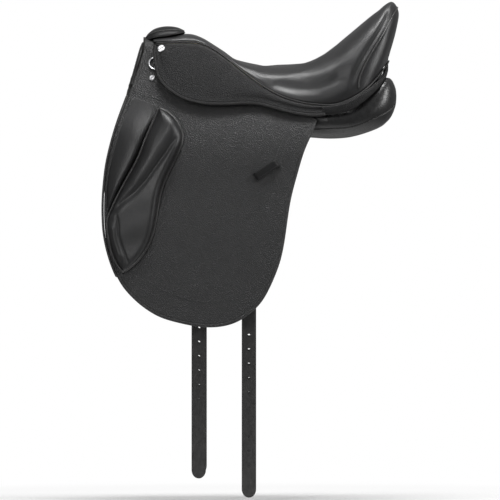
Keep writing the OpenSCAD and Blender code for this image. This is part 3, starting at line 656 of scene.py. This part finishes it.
def seat():
    """The stretched seat cover with its sewn lines, its filling, and the cord round the cantle."""
    n, m = 180, 121
    u, phi = np.meshgrid(np.linspace(0, 1, n), np.linspace(-90, 90, m), indexing="ij")
    surface = seat_point(u, phi)
    flat = surface[..., [0, 2]]
    sunk = hollow(flat, CANTLE_SEAM, 3.4, 5.0) + hollow(flat, CANTLE_CORD, 1.2, 2.6)
    lip = hollow(flat, SEAT_VALLEY, 4.0, 12) - hollow(flat, SEAT_ROLL, 2.0, 10)
    surface = seat_point(u, phi, sunk + lip - 0.6 * ripple(surface, 60, 4))
    faces = grid_faces(n, m)
    obj = new_piece("seat", surface, faces, SEAT_LEATHER, slot="seat_leather")
    if points_up(obj) < 0:
        obj.data.flip_normals()
    edges = (np.abs(phi) > 84) | (u < 0.01) | (u > 0.99)
    held = edges | ((flat[..., 0] > CANTLE_START) & (sunk > 0.02))
    puff(obj, held.ravel(), 1.2, 4.0)
    with_modifier(obj, "SOLIDIFY", thickness=2.2 * MM, offset=-1)
    with_modifier(obj, "SUBSURF", levels=1, render_levels=1)
    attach(obj, "saddle")
    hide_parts("seat_cover")
    under = seat_point(u, phi * 0.9, FILLING_DEPTH)
    filling = new_piece("seat_filling", under, faces, FOAM, "saddle", "foam")
    if points_up(filling) < 0:
        filling.data.flip_normals()
    with_modifier(filling, "SOLIDIFY", thickness=FILLING_T * MM, offset=-1)
    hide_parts("seat_foam")
    cantle_cord(obj)


def cantle_cord(cover):
    """Cord sewn round the cantle, laid on the seat cover."""
    dense_u, dense_phi = np.meshgrid(np.linspace(0.4, 1, 400), np.linspace(-90, 0, 240), indexing="ij")
    grid = seat_point(dense_u, dense_phi).reshape(-1, 3)
    half = []
    for target in smooth_curve(CANTLE_CORD, 60):
        half.append(grid[np.argmin(np.sum((grid[:, [0, 2]] - target) ** 2, axis=1))])
    half = smoothed(half, 6)
    path = resampled(smoothed(np.r_[half, half[::-1] * (1, -1, 1)], 4), 150)
    path, _ = snapped(path, cover, 0.5)
    tube("cantle_cord", smoothed(path, 6), 1.5, PIPING, "saddle", "seat_leather")


def points_up(obj):
    """Mean height of a mesh's face normals."""
    return sum(p.normal.z * p.area for p in obj.data.polygons)


def seat_edge_cord():
    """Cord between the seat and the skirts, all the way round."""
    line, width = seam_line(160, 2.0, 0.01, 0.985)
    half = np.stack([line[:, 0], -width - 1, line[:, 1]], -1)
    path = np.r_[half, half[::-1] * (1, -1, 1)]
    cord = tube("seat_cord", path, 1.5, UNDER_LEATHER, "saddle", "flap_leather")
    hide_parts("seat_welt")


# Stations of the padded cap over the head: x, crest z, side z, half-width, thickness
CAP_ROWS = [
    (-200, 187, 180, 28, 3), (-192, 199, 185, 40, 5), (-178, 208.5, 189.5, 46, 8),
    (-158, 212.4, 192, 46, 9), (-138, 210.5, 196, 42, 8), (-124, 204.5, 199.5, 28, 4),
]
CAP_SEAM = 0.62


def pommel_cap():
    """Padded cap over the head, with a cord sewn along each side."""
    n, m = 48, 49
    r = curve_at(CAP_ROWS, np.linspace(0, 1, n))
    phi = np.radians(np.linspace(-90, 90, m))[None, :]
    x = np.broadcast_to(r[:, :1], (n, m))
    outer = np.stack([x, r[:, 3:4] * np.sin(phi), mix(r[:, 2:3], r[:, 1:2], np.cos(phi))], -1)
    inner = np.stack([x + 0.4 * r[:, 4:5] * np.cos(phi), (r[:, 3:4] - 0.7 * r[:, 4:5]) * np.sin(phi),
                      mix(r[:, 2:3], r[:, 1:2] - r[:, 4:5], np.cos(phi))], -1)
    rings = np.concatenate([outer, inner[:, ::-1]], axis=1)
    points, faces = rings_mesh(rings)
    cap = face_out(new_piece("pommel_pad", points, faces, CAP_LEATHER, slot="seat_leather"))
    held = np.ones(len(points), bool)
    held[: n * 2 * m].reshape(n, 2 * m)[3:-3, 6:-m - 6] = False
    puff(cap, held, 1.5, 2.0)
    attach(cap, "saddle")
    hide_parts("pommel_cap")
    s = CAP_SEAM * math.pi / 2
    cosine, sine = math.cos(s), math.sin(s)
    for number, side in enumerate((-1, 1)):
        rows = r[4:-4]
        path = np.stack([rows[:, 0], side * rows[:, 3] * sine, mix(rows[:, 2], rows[:, 1], cosine)], -1)
        path, _ = snapped(path, cap, 0.3)
        tube(f"cap_cord_{number}", path, 1.1, PIPING, "saddle", "seat_leather")


# Outer edge of half the facing (y, z), from its top
FACING_PATH = [(0, 181), (22, 177), (38, 166), (50, 146), (59, 122), (68, 98)]
FACING_TOP_X = -200.0
FACING_LEAN = 15.0
FACING_W = 18.0
FACING_T = 7.0
# Section (y, z) of the leather over the head, and its ends in x
HEAD_PATH = [(-57, 150), (-50, 170), (-38, 185), (-20, 190), (0, 191)]
HEAD_SPAN = (-201, -150)


def pommel_facing():
    """Padded arch that closes the front of the head."""
    half = np.array(FACING_PATH, float)
    both = np.r_[half[::-1] * (-1, 1), half[1:]]
    line = smooth_curve(both, 90)
    lean = math.tan(math.radians(FACING_LEAN))
    inner = line - unit(line - (0, 90)) * 7
    x = FACING_TOP_X + lean * (inner[:, 1] - half[0, 1])
    path = np.stack([x, inner[:, 0], inner[:, 1]], -1)
    forward = np.broadcast_to((-1.0, 0, 0.25), path.shape)
    arch = strap("pommel_facing_pad", path, forward, FACING_W, FACING_T, CAP_LEATHER, "saddle",
                 "seat_leather", crown=1.5)
    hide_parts("pommel_facing")
    head_cover()
    points, normals = snapped(path + np.array((-4, 0, 0)), arch, 0.1)
    stitches("facing_stitches", points, normals, THREAD, "saddle", "flap_leather")


def head_cover():
    """Leather over the head, between the facing and the seat."""
    half = smooth_curve(HEAD_PATH, 30)
    line = np.r_[half, half[-2::-1] * (-1, 1)]
    rows = [np.c_[np.full(len(line), x), line] for x in np.linspace(*HEAD_SPAN, 12)]
    head = new_piece("head_cover", rows, grid_faces(12, len(line)), CAP_LEATHER, "saddle", "seat_leather")
    with_modifier(head, "SOLIDIFY", thickness=2 * MM, offset=0)


# Left half of the strip round the foot of the cantle: x, y, z, width
BAND_ROWS = [
    (136, -137, 50, 17.5), (160, -139.5, 52, 17.5), (184, -138, 59, 17.5), (206, -132, 72, 16),
    (226, -121, 87, 13.5), (242, -108, 102, 11.5), (252, -86, 115.5, 11), (256.5, -54, 128, 13),
    (258, -25, 135, 17), (258, 0, 137, 19),
]
# Rows of the cantle's lining: how far in from the seat's seam, and below it
LINING = [(7, -3), (9, 12), (13, 30), (17, 46)]


def cantle_band():
    """Strip round the foot of the cantle, and the stitches along its flanks."""
    half = curve_at(BAND_ROWS, np.linspace(0, 1, 90))
    rows = np.r_[half, half[-2::-1] * (1, -1, 1, 1)]
    path = rows[:, :3]
    tangents = unit(np.gradient(path, axis=0))
    out = unit(np.cross(tangents, (0, 0, 1)))
    band = strap("cantle_strip", path, out, rows[:, 3], 5.0, SKIRT_LEATHER, "saddle", "flap_leather",
                 crown=0.6)
    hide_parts("cantle_band")
    cantle_lining()
    up = unit(np.cross(out, tangents))
    edge = path + up * (rows[:, 3:4] / 2 - 3) + out * 3
    for number, flank in enumerate((edge[:60], edge[-60:])):
        points, normals = snapped(flank, band, 0.1)
        stitches(f"cantle_stitches_{number}", points, normals, THREAD, "saddle", "flap_leather")


def cantle_lining():
    """Leather that closes the gap between the seat's rear edge and the panels."""
    line, width = seam_line(90, 0.0, 0.5, 0.995)
    half = np.stack([line[:, 0], -width, line[:, 1]], -1)
    seam = np.r_[half, half[::-1] * (1, -1, 1)]
    aside = unit(np.cross(np.gradient(seam, axis=0), (0, 0, 1)))
    lining = np.stack([seam - aside * inset - (0, 0, drop) for inset, drop in LINING], 1)
    piece = new_piece("cantle_lining", lining, grid_faces(*lining.shape[:2]), UNDER_LEATHER, "saddle",
                      "panel_leather")
    with_modifier(piece, "SOLIDIFY", thickness=1.5 * MM, offset=0)


# ---------------------------------------------------------------- skirts and flaps

# Free lower edge of the skirt (x, z), front to rear
SKIRT_EDGE = [
    (-181, 176), (-182.5, 161), (-180.5, 141), (-175.8, 118.4), (-166.2, 101.5), (-152.3, 88.4),
    (-127.8, 73.3), (-103.4, 65.5), (-79, 61.3), (-43.2, 60.7), (-7.5, 62.4), (18.8, 60.2),
    (50.8, 51.7), (75.2, 45.1), (101.5, 40.4), (125, 39.3), (141, 41.5),
]
SKIRT_T = 4.0
FLAP_T = 4.5
FLAP_EDGE = [
    (-225.5, 86.5), (-246, 30), (-260, -19), (-269, -66), (-273.5, -134), (-268, -201),
    (-249, -261), (-219, -301), (-176, -332.5), (-128, -348), (-80, -355), (-40, -350.5),
    (-8, -335), (23, -305), (48, -255), (62, -207), (75, -122), (88, -70), (102, -24),
    (118.4, 13.2), (126, 34),
]
FLAP_TOP = [(126, 34), (110, 41), (60, 57), (0, 83), (-40, 91), (-100, 111), (-150, 139),
            (-172, 159), (-186, 177), (-197, 176), (-211, 130), (-225.5, 86.5)]
FLAP_CENTRE = (-85.0, -120.0)
FLAP_CORD_END = -262.0
GIRTH_STITCH = [(-190, -268), (-169, -282), (-141, -294), (-113, -303), (-85, -306.5), (-56, -304),
                (-34, -296), (-18, -287)]
REAR_STITCH = [(76, 18), (60, -8), (48, -40), (40, -90)]
TOP_SEAM = [(-225, 82), (-200, 76), (-168, 66), (-140, 52)]
TOP_SEAM_GAP = 4


def bend_pair(obj, right_name, nodes):
    """Makes the right-hand twin of a left-hand sheet, bakes both sheets' placement into their meshes, and
    hides the CAD nodes they stand in for.
    """
    twin = mirrored(obj, right_name)
    for piece, side, sign in ((obj, "left", 1), (twin, "right", -1)):
        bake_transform(piece)
        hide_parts(*(f"{n}_{side}" for n in nodes))


def flap():
    """The long flap, one sheet from its top under the skirt, and its stitched lines."""
    lower = smooth_curve(FLAP_EDGE, 260)
    upper = resampled(np.array(FLAP_TOP, float), 110)
    outline = np.r_[lower[:-1], upper[:-1]]
    sheet = leather_sheet("flap_sheet_left", FLAP, smoothed(outline, 2, closed=True), FLAP_CENTRE,
                          FLAP_T, FLAP_LEATHER, "flap_leather")
    bend_pair(sheet, "flap_sheet_right", ("flap", "flap_top"))
    flap_stitches("girth_stitches", GIRTH_STITCH)
    flap_stitches("rear_stitches", REAR_STITCH)
    flap_stitches("top_stitches_0", TOP_SEAM)
    flap_stitches("top_stitches_1", np.add(TOP_SEAM, (0, TOP_SEAM_GAP)))


def skirt():
    """A strip between its free lower edge and the seat seam, one unbroken sheet."""
    lower = smooth_curve(SKIRT_EDGE, 200)
    upper, _ = seam_line(400, 4.0)
    upper = resampled(upper[(upper[:, 0] > -181) & (upper[:, 0] < 141)], 200)
    normals = inward(lower, False)
    rows = []
    for inset, height in EDGE_OUT[::-1]:
        rows.append((lower + normals * inset, height))
    base = lower + normals * EDGE_OUT[0][0]
    for share in (0.06, 0.15, 0.3, 0.45, 0.6, 0.75, 0.88, 0.96, 1.0):
        pad = 1.6 * math.sin(share * math.pi) ** 0.8
        rows.append((mix(base, upper, share), pad))
    for share in (1.0, 0.8, 0.6, 0.4, 0.2):
        rows.append((mix(base, upper, share), -SKIRT_T))
    for inset, height in EDGE_IN[::-1]:
        rows.append((lower + normals * inset, -SKIRT_T + height))
    solid = [
        laid(SKIRT, flat, height + 0.35 * ripple(np.c_[flat, 0 * flat[:, 0]], 80, 9))[0]
        for flat, height in rows
    ]
    points, faces = rings_mesh(np.array(solid).transpose(1, 0, 2))
    sheet = face_out(new_piece("skirt_sheet_left", points, faces, SKIRT_LEATHER, slot="flap_leather"))
    bend_pair(sheet, "skirt_sheet_right", ("skirt", "skirt_top"))


def flap_cord():
    """Cord along the front edge of the flap."""
    line = smooth_curve([(-228, 80)] + FLAP_EDGE[1:], 400)
    line = line[(line[:, 1] > FLAP_CORD_END) & (line[:, 0] < -200)]
    aside = 2.6 * np.clip((line[:, 1] - FLAP_CORD_END) / 90, 0, 1)
    path, _ = laid(FLAP, np.c_[line[:, 0] - aside, line[:, 1]], 0.0)
    cord = tube("flap_cord_left", path, 2.3, PIPING, "flap_left", "flap_leather")
    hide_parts("flap_welt_left")
    twin = mirrored(cord, "flap_cord_right", "flap_right")
    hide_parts("flap_welt_right")


# ---------------------------------------------------------------- knee roll and block

# Front and rear edges of each pad, from its top to its foot
ROLL_FRONT = [(-217, 76), (-240, 28), (-253, -16), (-264, -60), (-269, -104), (-265, -143)]
ROLL_REAR = [(-174, 60), (-183, 34), (-197, 2), (-212, -36), (-229, -68), (-245, -97), (-258, -124),
             (-265, -143)]
BLOCK_FRONT = [(-171, 54.5), (-180, 30), (-194, 0), (-209, -38), (-226, -70), (-242, -99), (-256, -127),
               (-267, -156), (-264.5, -188), (-255, -226), (-238, -253)]
BLOCK_REAR = [(-171, 54.5), (-152.3, 47), (-137.2, 30), (-127.8, 15), (-124, -1), (-129.7, -17),
              (-150.4, -60), (-163.6, -88.4), (-171, -118.4), (-175.8, -152.3), (-183, -186),
              (-195.5, -212.4), (-214.3, -236.9), (-238, -253)]
# Crease between the block's domed upper pad and its flatter lower pad, and the strip at its front
BLOCK_CREASE = [(-270, -146), (-239, -124), (-212, -102), (-194, -83), (-167, -45), (-139, -8), (-110, 30)]
BLOCK_STRIP = [(-250, -140), (-246, -162), (-245, -184), (-236, -214), (-224, -242)]
STRIP_RIDGE = [(-257, -158), (-255, -186), (-246, -216), (-238, -234)]


ROLL_HEIGHT = 15.0
CORD_RADIUS = 2.9
ROLL_PEAK = 0.88


def bulge(distance, radius):
    """Rise from 0 to 1 over a rounded shoulder."""
    t = np.clip(distance / radius, 0, 1)
    return np.sqrt(1 - (1 - t) ** 2)


def block_rise(flat, edge, across):
    """Height of the block over the flap: a dome, a crease, and a flatter pad below it."""
    crease = np.array(BLOCK_CREASE, float)
    above = 0.62 * (flat[..., 1] - np.interp(flat[..., 0], crease[:, 0], crease[:, 1]))
    upper = np.clip(above / 26 + 0.1, 0, 1)
    upper = upper * upper * (3 - 2 * upper)
    top_end = np.clip((flat[..., 1] + 20) / 60, 0, 1)
    shoulder = mix(mix(26, 9, across), 24, top_end)
    tall = 33 * (0.42 + 0.58 * across**0.8)
    taper = np.clip((flat[..., 1] + 262) / 170, 0, 1)
    flatter = mix(13, 24, across) * (0.5 + 0.5 * taper * taper * (3 - 2 * taper))
    height = mix(flatter, tall, upper) * bulge(edge, shoulder)
    height = height - 3.0 * np.exp(-((above / 4.5) ** 2)) * np.clip(edge / 12, 0, 1)
    return height - hollow(flat, BLOCK_STRIP, 2.2, 2.4) + hollow(flat, STRIP_RIDGE, 4.0, 6.5)


def roll_rise(flat, edge, across):
    """Height of the roll: round in section, running out flat at its top."""
    ends = np.array((ROLL_FRONT[0], ROLL_REAR[0]))
    top = np.interp(flat[..., 0], ends[:, 0], ends[:, 1])
    fade = np.clip((top - flat[..., 1]) / 110, 0, 1)
    slope = np.sin(np.clip(across / ROLL_PEAK, 0, 1) * math.pi / 2)
    return ROLL_HEIGHT * fade * fade * (3 - 2 * fade) * np.minimum(slope, bulge(edge, 7))


def padded(name, front, rear, rise, seed, count=110, wide=56):
    """A padded shape on the flap between two edges, its outline, and the vertices cloth holds."""
    ahead, behind = smooth_curve(front, count), smoothed(smooth_curve(rear, count), 30)
    across = (1 - np.cos(np.linspace(0, math.pi, wide))) / 2
    flat = mix(ahead[:, None], behind[:, None], across[None, :, None])
    outline = np.r_[ahead, behind[-2:0:-1]]
    edge = np.minimum(line_distance(flat, ahead)[0], line_distance(flat, behind)[0])
    height = rise(flat, edge, np.broadcast_to(across, edge.shape))
    uneven = ripple(np.c_[flat.reshape(-1, 2), np.zeros(edge.size)], 70, seed).reshape(edge.shape)
    height = height + 0.5 * uneven * np.clip(edge / 15, 0, 1)
    top = laid(FLAP, flat, np.maximum(height, 0.4))[0]
    under = laid(FLAP, flat[:, ::-1], 0.1)[0]
    points, faces = rings_mesh(np.concatenate([top, under], axis=1))
    obj = face_out(new_piece(name, points, faces, BLOCK_LEATHER, slot="block_leather"))
    held = np.ones(len(points), bool)
    free = np.zeros((count, 2 * wide), bool)
    free[:, :wide] = edge > 3
    held[: free.size] = ~free.ravel()
    return obj, outline, held


def knee_pads():
    """The block and the roll on the flap, the block's cord, and their seams."""
    block, line, held = padded("knee_block_left", BLOCK_FRONT, BLOCK_REAR, block_rise, 5)
    flat = points_of(block)[:, [0, 2]]
    held |= hollow(flat, BLOCK_STRIP, 1, 2.5) > 0.4
    held |= hollow(flat, BLOCK_CREASE, 1, 2.5) > 0.4
    puff(block, held, 2.0, 2.5)
    roll, _, held = padded("knee_roll_pad_left", ROLL_FRONT, ROLL_REAR, roll_rise, 8, 90, 40)
    puff(roll, held, 1.5, 1.5)
    for obj, replaced in ((block, ("knee_block_cover", "knee_block_foam")), (roll, ("knee_roll",))):
        with_modifier(obj, "SUBSURF", levels=1, render_levels=1)
        twin = mirrored(obj, obj.name.replace("left", "right"))
        for piece, side in ((obj, "left"), (twin, "right")):
            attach(piece, f"flap_{side}")
            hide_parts(*(f"{n}_{side}" for n in replaced))
    path, _ = laid(FLAP, smoothed(resampled(np.r_[line, line[:2]], 240), 2), CORD_RADIUS)
    cord = tube("block_cord_left", path, CORD_RADIUS, PIPING, "flap_left", "block_leather")
    mirrored(cord, "block_cord_right", "flap_right")
    rear = smooth_curve(BLOCK_REAR, 160)
    seams = ((rear, 6.5, 0.1), (smooth_curve(ROLL_REAR, 120), -3.5, 5.0))
    for number, (rows, gap, lift) in enumerate(seams):
        path, normals = laid(FLAP, rows + inward(rows, False) * gap, lift)
        seam = stitches(f"pad_stitches_{number}_left", path, normals, THREAD, "flap_left", "flap_leather")
        mirrored(seam, f"pad_stitches_{number}_right", "flap_right")


# ---------------------------------------------------------------- keeper

# Middle of the keeper (x, z), its tilt in degrees, and how far its middle stands off the flap
KEEPER_PLACE = (31.0, -61.0)
KEEPER_LEN = 50.0
KEEPER_W = 15.5
KEEPER_TILT = 33.0
KEEPER_RISE = 5.2


def keeper():
    """Stitched strap on the flap that holds the end of a stirrup leather."""
    tilt = math.radians(KEEPER_TILT)
    s = np.linspace(-1, 1, 60)
    rise = 1.2 + KEEPER_RISE * (1 - np.abs(s) ** 12)
    along = np.array((math.cos(tilt), math.sin(tilt)))
    flat = np.array(KEEPER_PLACE) + (s * KEEPER_LEN / 2)[:, None] * along
    path, normals = laid(FLAP, flat, rise)
    loop = strap("keeper_left", path, normals, KEEPER_W, 3.0, SKIRT_LEATHER, "flap_left", "flap_leather")
    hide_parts("leather_keeper_left")
    twin = mirrored(loop, "keeper_right", "flap_right")
    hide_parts("leather_keeper_right")
    across = np.array((-math.sin(tilt), math.cos(tilt)))
    for number, side in enumerate((-1, 1)):
        edge, out = laid(FLAP, flat[6:-6] + across * side * (KEEPER_W / 2 - 2), rise[6:-6] + 1.3)
        row = stitches(f"keeper_stitches_{number}_left", edge, out, THREAD, "flap_left", "flap_leather",
                       pitch=2.6, length=1.9, radius=0.3)
        mirrored(row, f"keeper_stitches_{number}_right", "flap_right")


# ---------------------------------------------------------------- panels

# Stations of the panel along the back: x, centre y, centre z, half-width, half-depth, tilt
PANEL_ROWS = [
    (-152, -47, 66, 46, 14, 62), (-100, -57, 52, 46, 17, 52), (-50, -66, 46, 45, 20, 38),
    (0, -68, 40, 42, 23, 26), (60, -72, 36, 42, 27, 15), (110, -80, 34, 46, 31, 6),
    (150, -86, 33, 48, 33, 0), (185, -87, 36, 47, 34, 0), (212, -85, 46, 44, 38, 0),
    (236, -79, 61, 43, 45, 0), (255, -74, 72, 37, 47, 0), (268, -70, 76, 26, 37, 0),
    (277, -68, 77, 9, 15, 0),
]
# Levels of its front: z, centre x, half-length, depth behind the flap, half-depth
FRONT_ROWS = [
    (140, -206, 8, 34, 6), (124, -207, 19, 42, 9), (90, -192, 46, 50, 12),
    (50, -192, 60, 50, 12.5), (10, -197, 69, 46, 12.5), (-30, -202, 73.5, 35, 12),
    (-70, -208, 72, 32, 11.5), (-100, -217, 63, 31, 11), (-118, -228, 46, 31, 9),
    (-128, -238, 22, 31, 5),
]
# Side surface that the front of the panel follows, like FLAP but nearly upright
SWEAT = (136.0, 0.105, 0.35, -0.012)


PANEL_INSET = 2.0
PANEL_VOXEL = 4.0


def panel_ring(a, r, inset):
    """Points of the panel at angle a round the stations r."""
    c = (r[:, 3:4] - inset) * np.cos(a)
    s = (r[:, 4:5] - inset) * np.sin(a)
    tilt = np.radians(r[:, 5:6])
    y = r[:, 1:2] - c * np.cos(tilt) - s * np.sin(tilt)
    z = r[:, 2:3] - c * np.sin(tilt) + s * np.cos(tilt)
    return np.stack([np.broadcast_to(r[:, :1], y.shape), y, z], -1)


def panel():
    """One flocked panel: its two lofts joined, remeshed, blown up and smoothed."""
    turn = np.linspace(0, 2 * math.pi, 48, endpoint=False)[None, :]
    inset = PANEL_INSET
    back = panel_ring(turn, curve_at(PANEL_ROWS, np.linspace(0, 1, 90)), inset)
    r = curve_at(FRONT_ROWS, np.linspace(0, 1, 60))
    x = r[:, 1:2] + (r[:, 2:3] - inset) * np.cos(turn)
    z = np.broadcast_to(r[:, :1], x.shape)
    width, _ = side_width(SWEAT, x, z)
    out = (r[:, 4:5] - inset) * np.sin(turn) - r[:, 3:4]
    front = np.stack([x, -(width + out), z], -1)
    parts = [face_out(new_piece(f"panel_part_{k}", *rings_mesh(rings), PANEL_LEATHER))
             for k, rings in enumerate((back, front))]
    bpy.ops.object.select_all(action="DESELECT")
    for part in parts:
        part.select_set(True)
    bpy.context.view_layer.objects.active = parts[0]
    bpy.ops.object.join()
    obj = parts[0]
    obj.name = obj.data.name = "panel_pad_left"
    obj.data.remesh_voxel_size = PANEL_VOXEL * MM
    bpy.ops.object.voxel_remesh()
    with_modifier(obj, "SMOOTH", factor=0.5, iterations=34)
    bpy.ops.object.modifier_apply(modifier="smooth")
    points = points_of(obj)
    held = (points[:, 2] > 118) | (points[:, 2] < -112)
    puff(obj, held, 3.0, 3.5)
    obj.data.shade_smooth()
    with_modifier(obj, "SUBSURF", levels=1, render_levels=1)
    twin = mirrored(obj, "panel_pad_right")
    for piece, side in ((obj, "left"), (twin, "right")):
        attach(piece, "saddle")
        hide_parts(f"panel_{side}", f"flock_{side}")
    rows = curve_at(PANEL_ROWS, np.linspace(0.1, 0.975, 150))
    for name, angle, radius in (("panel_cord", 215, 1.6), ("panel_seam", 325, 1.2)):
        path = panel_ring(np.full((1, 1), math.radians(angle)), rows, 0)[:, 0]
        path, _ = snapped(path, obj, 0.4)
        cord = tube(f"{name}_left", smoothed(path, 4), radius, PIPING, "saddle", "panel_leather")
        mirrored(cord, f"{name}_right", "saddle")


# ---------------------------------------------------------------- carried-over parts

BILLET_X = {"front": -96.0, "rear": -2.0}
BILLET_W = 27.0


def carried_over():
    """Materials and softened edges for the CAD nodes that are shown as they are."""
    groups = {
        NICKEL: ("stirrup_bar", "bar_catch", "catch_pins", "bar_rivets", "skirt_screws",
                 "flap_screws", "dee_staples", "front_dee"),
        STEEL: ("gullet_plate", "spring_steel"),
        WOOD: ("tree_frame",),
        WEB: ("seat_web", "girth_web"),
        UNDER_LEATHER: ("sweat_flap", "point_pocket"),
    }
    for name, obj in NODES.items():
        for material, starts in groups.items():
            if name.startswith(starts):
                dress(obj, material)
    for place_name, x in BILLET_X.items():
        material = strap_leather(f"billet_leather_{place_name}", x, BILLET_W / 2)
        for side in ("left", "right"):
            dress(NODES[f"billet_{place_name}_{side}"], material)


def dress(obj, material):
    """Gives a CAD node its material and softens its edges."""
    obj.data.materials.clear()
    obj.data.materials.append(material)
    if not obj.name.startswith(("seat_", "girth_", "tree")):
        with_modifier(obj, "BEVEL", width=0.5 * MM, segments=2, limit_method="ANGLE",
                      angle_limit=math.radians(35))
        with_modifier(obj, "WEIGHTED_NORMAL", keep_sharp=False)
        obj.data.shade_smooth()


# ---------------------------------------------------------------- stage

# Stage sizes in metres, the floor's rings in millimetres
VIEW_WIDTH = 0.94
VIEW_CENTRE = (0.0, -0.07, -0.2106)
CAMERA_DISTANCE = 12.0
FLOOR_Z = -0.69
FLOOR_RINGS = (1, 800, 1600, 9000)


def area_light(name, place_at, aim, size, power):
    data = bpy.data.lights.new(name, "AREA")
    data.shape = "RECTANGLE"
    data.size, data.size_y = size
    data.energy = power
    lamp = bpy.data.objects.new(name, data)
    lamp.location = place_at
    lamp.rotation_euler = (Vector(aim) - Vector(place_at)).to_track_quat("-Z", "Y").to_euler()
    bpy.context.scene.collection.objects.link(lamp)


def studio_world():
    """White to the camera, dim and brighter above to everything else."""
    world = bpy.data.worlds.new("studio")
    bpy.context.scene.world = world
    world.use_nodes = True
    tree = world.node_tree
    background = tree.nodes["Background"]
    direction = node(tree, "SeparateXYZ", {0: node(tree, "TexCoord").outputs["Generated"]})
    above = ramp(tree, direction.outputs[2], -0.3, 0.9)
    lit = maths(tree, "ADD", maths(tree, "MULTIPLY", above, 0.34), 0.13)
    camera_ray = node(tree, "LightPath").outputs["Is Camera Ray"]
    strength = node(tree, "Mix", {0: camera_ray, 2: lit, 3: 1.0}, data_type="FLOAT").outputs[0]
    tree.links.new(strength, background.inputs["Strength"])
    background.inputs["Color"].default_value = (1, 1, 1, 1)


def studio_floor():
    """A pale disc that fades to white away from the saddle."""
    material, tree, bsdf = shader("floor")
    bsdf.inputs["Base Color"].default_value = (0.93, 0.93, 0.93, 1)
    bsdf.inputs["Roughness"].default_value = 0.9
    reach = node(tree, "VectorMath", {0: place(tree)}, operation="LENGTH").outputs["Value"]
    seen = node(tree, "LightPath").outputs["Is Camera Ray"]
    white = node(tree, "Mix", {0: seen, 2: 0.25, 3: 1.0}, data_type="FLOAT").outputs[0]
    glow = node(tree, "Emission", {"Color": (1, 1, 1, 1), "Strength": white})
    fade = ramp(tree, reach, 0.35, 1.1)
    blend_out = node(tree, "MixShader", {0: fade, 1: bsdf.outputs[0], 2: glow.outputs[0]})
    tree.links.new(blend_out.outputs[0], tree.nodes["Material Output"].inputs["Surface"])
    count = 64
    turn = np.linspace(0, 2 * math.pi, count, endpoint=False)
    circle = np.stack([np.cos(turn), np.sin(turn), 0 * turn], -1)
    points = np.concatenate([radius * circle for radius in FLOOR_RINGS])
    faces = grid_faces(len(FLOOR_RINGS), count, wrap=True) + [tuple(range(count))]
    floor = new_piece("floor", points, faces, material)
    floor.location = (0, 0, FLOOR_Z)


def camera():
    """A long lens, square to the saddle's left side."""
    data = bpy.data.cameras.new("camera")
    data.sensor_width = 36
    data.lens = data.sensor_width * CAMERA_DISTANCE / VIEW_WIDTH
    seen_from = bpy.data.objects.new("camera", data)
    seen_from.location = (VIEW_CENTRE[0], VIEW_CENTRE[1] - CAMERA_DISTANCE, VIEW_CENTRE[2])
    seen_from.rotation_euler = (math.radians(90), 0, 0)
    bpy.context.scene.collection.objects.link(seen_from)
    bpy.context.scene.camera = seen_from


def stage():
    bpy.context.scene.view_settings.view_transform = "Standard"
    studio_world()
    studio_floor()
    area_light("top", (0.1, -0.45, 1.45), (0.05, 0, 0), (1.1, 0.4), 32)
    area_light("left", (-1.1, -2.0, 0.6), (-0.1, -0.1, -0.05), (0.35, 1.0), 15)
    area_light("right", (1.9, -0.7, 0.5), (0, -0.1, 0), (0.4, 1.3), 26)
    camera()


seat()
seat_edge_cord()
pommel_cap()
pommel_facing()
cantle_band()
skirt()
flap()
flap_cord()
knee_pads()
keeper()
panel()
carried_over()
stage()
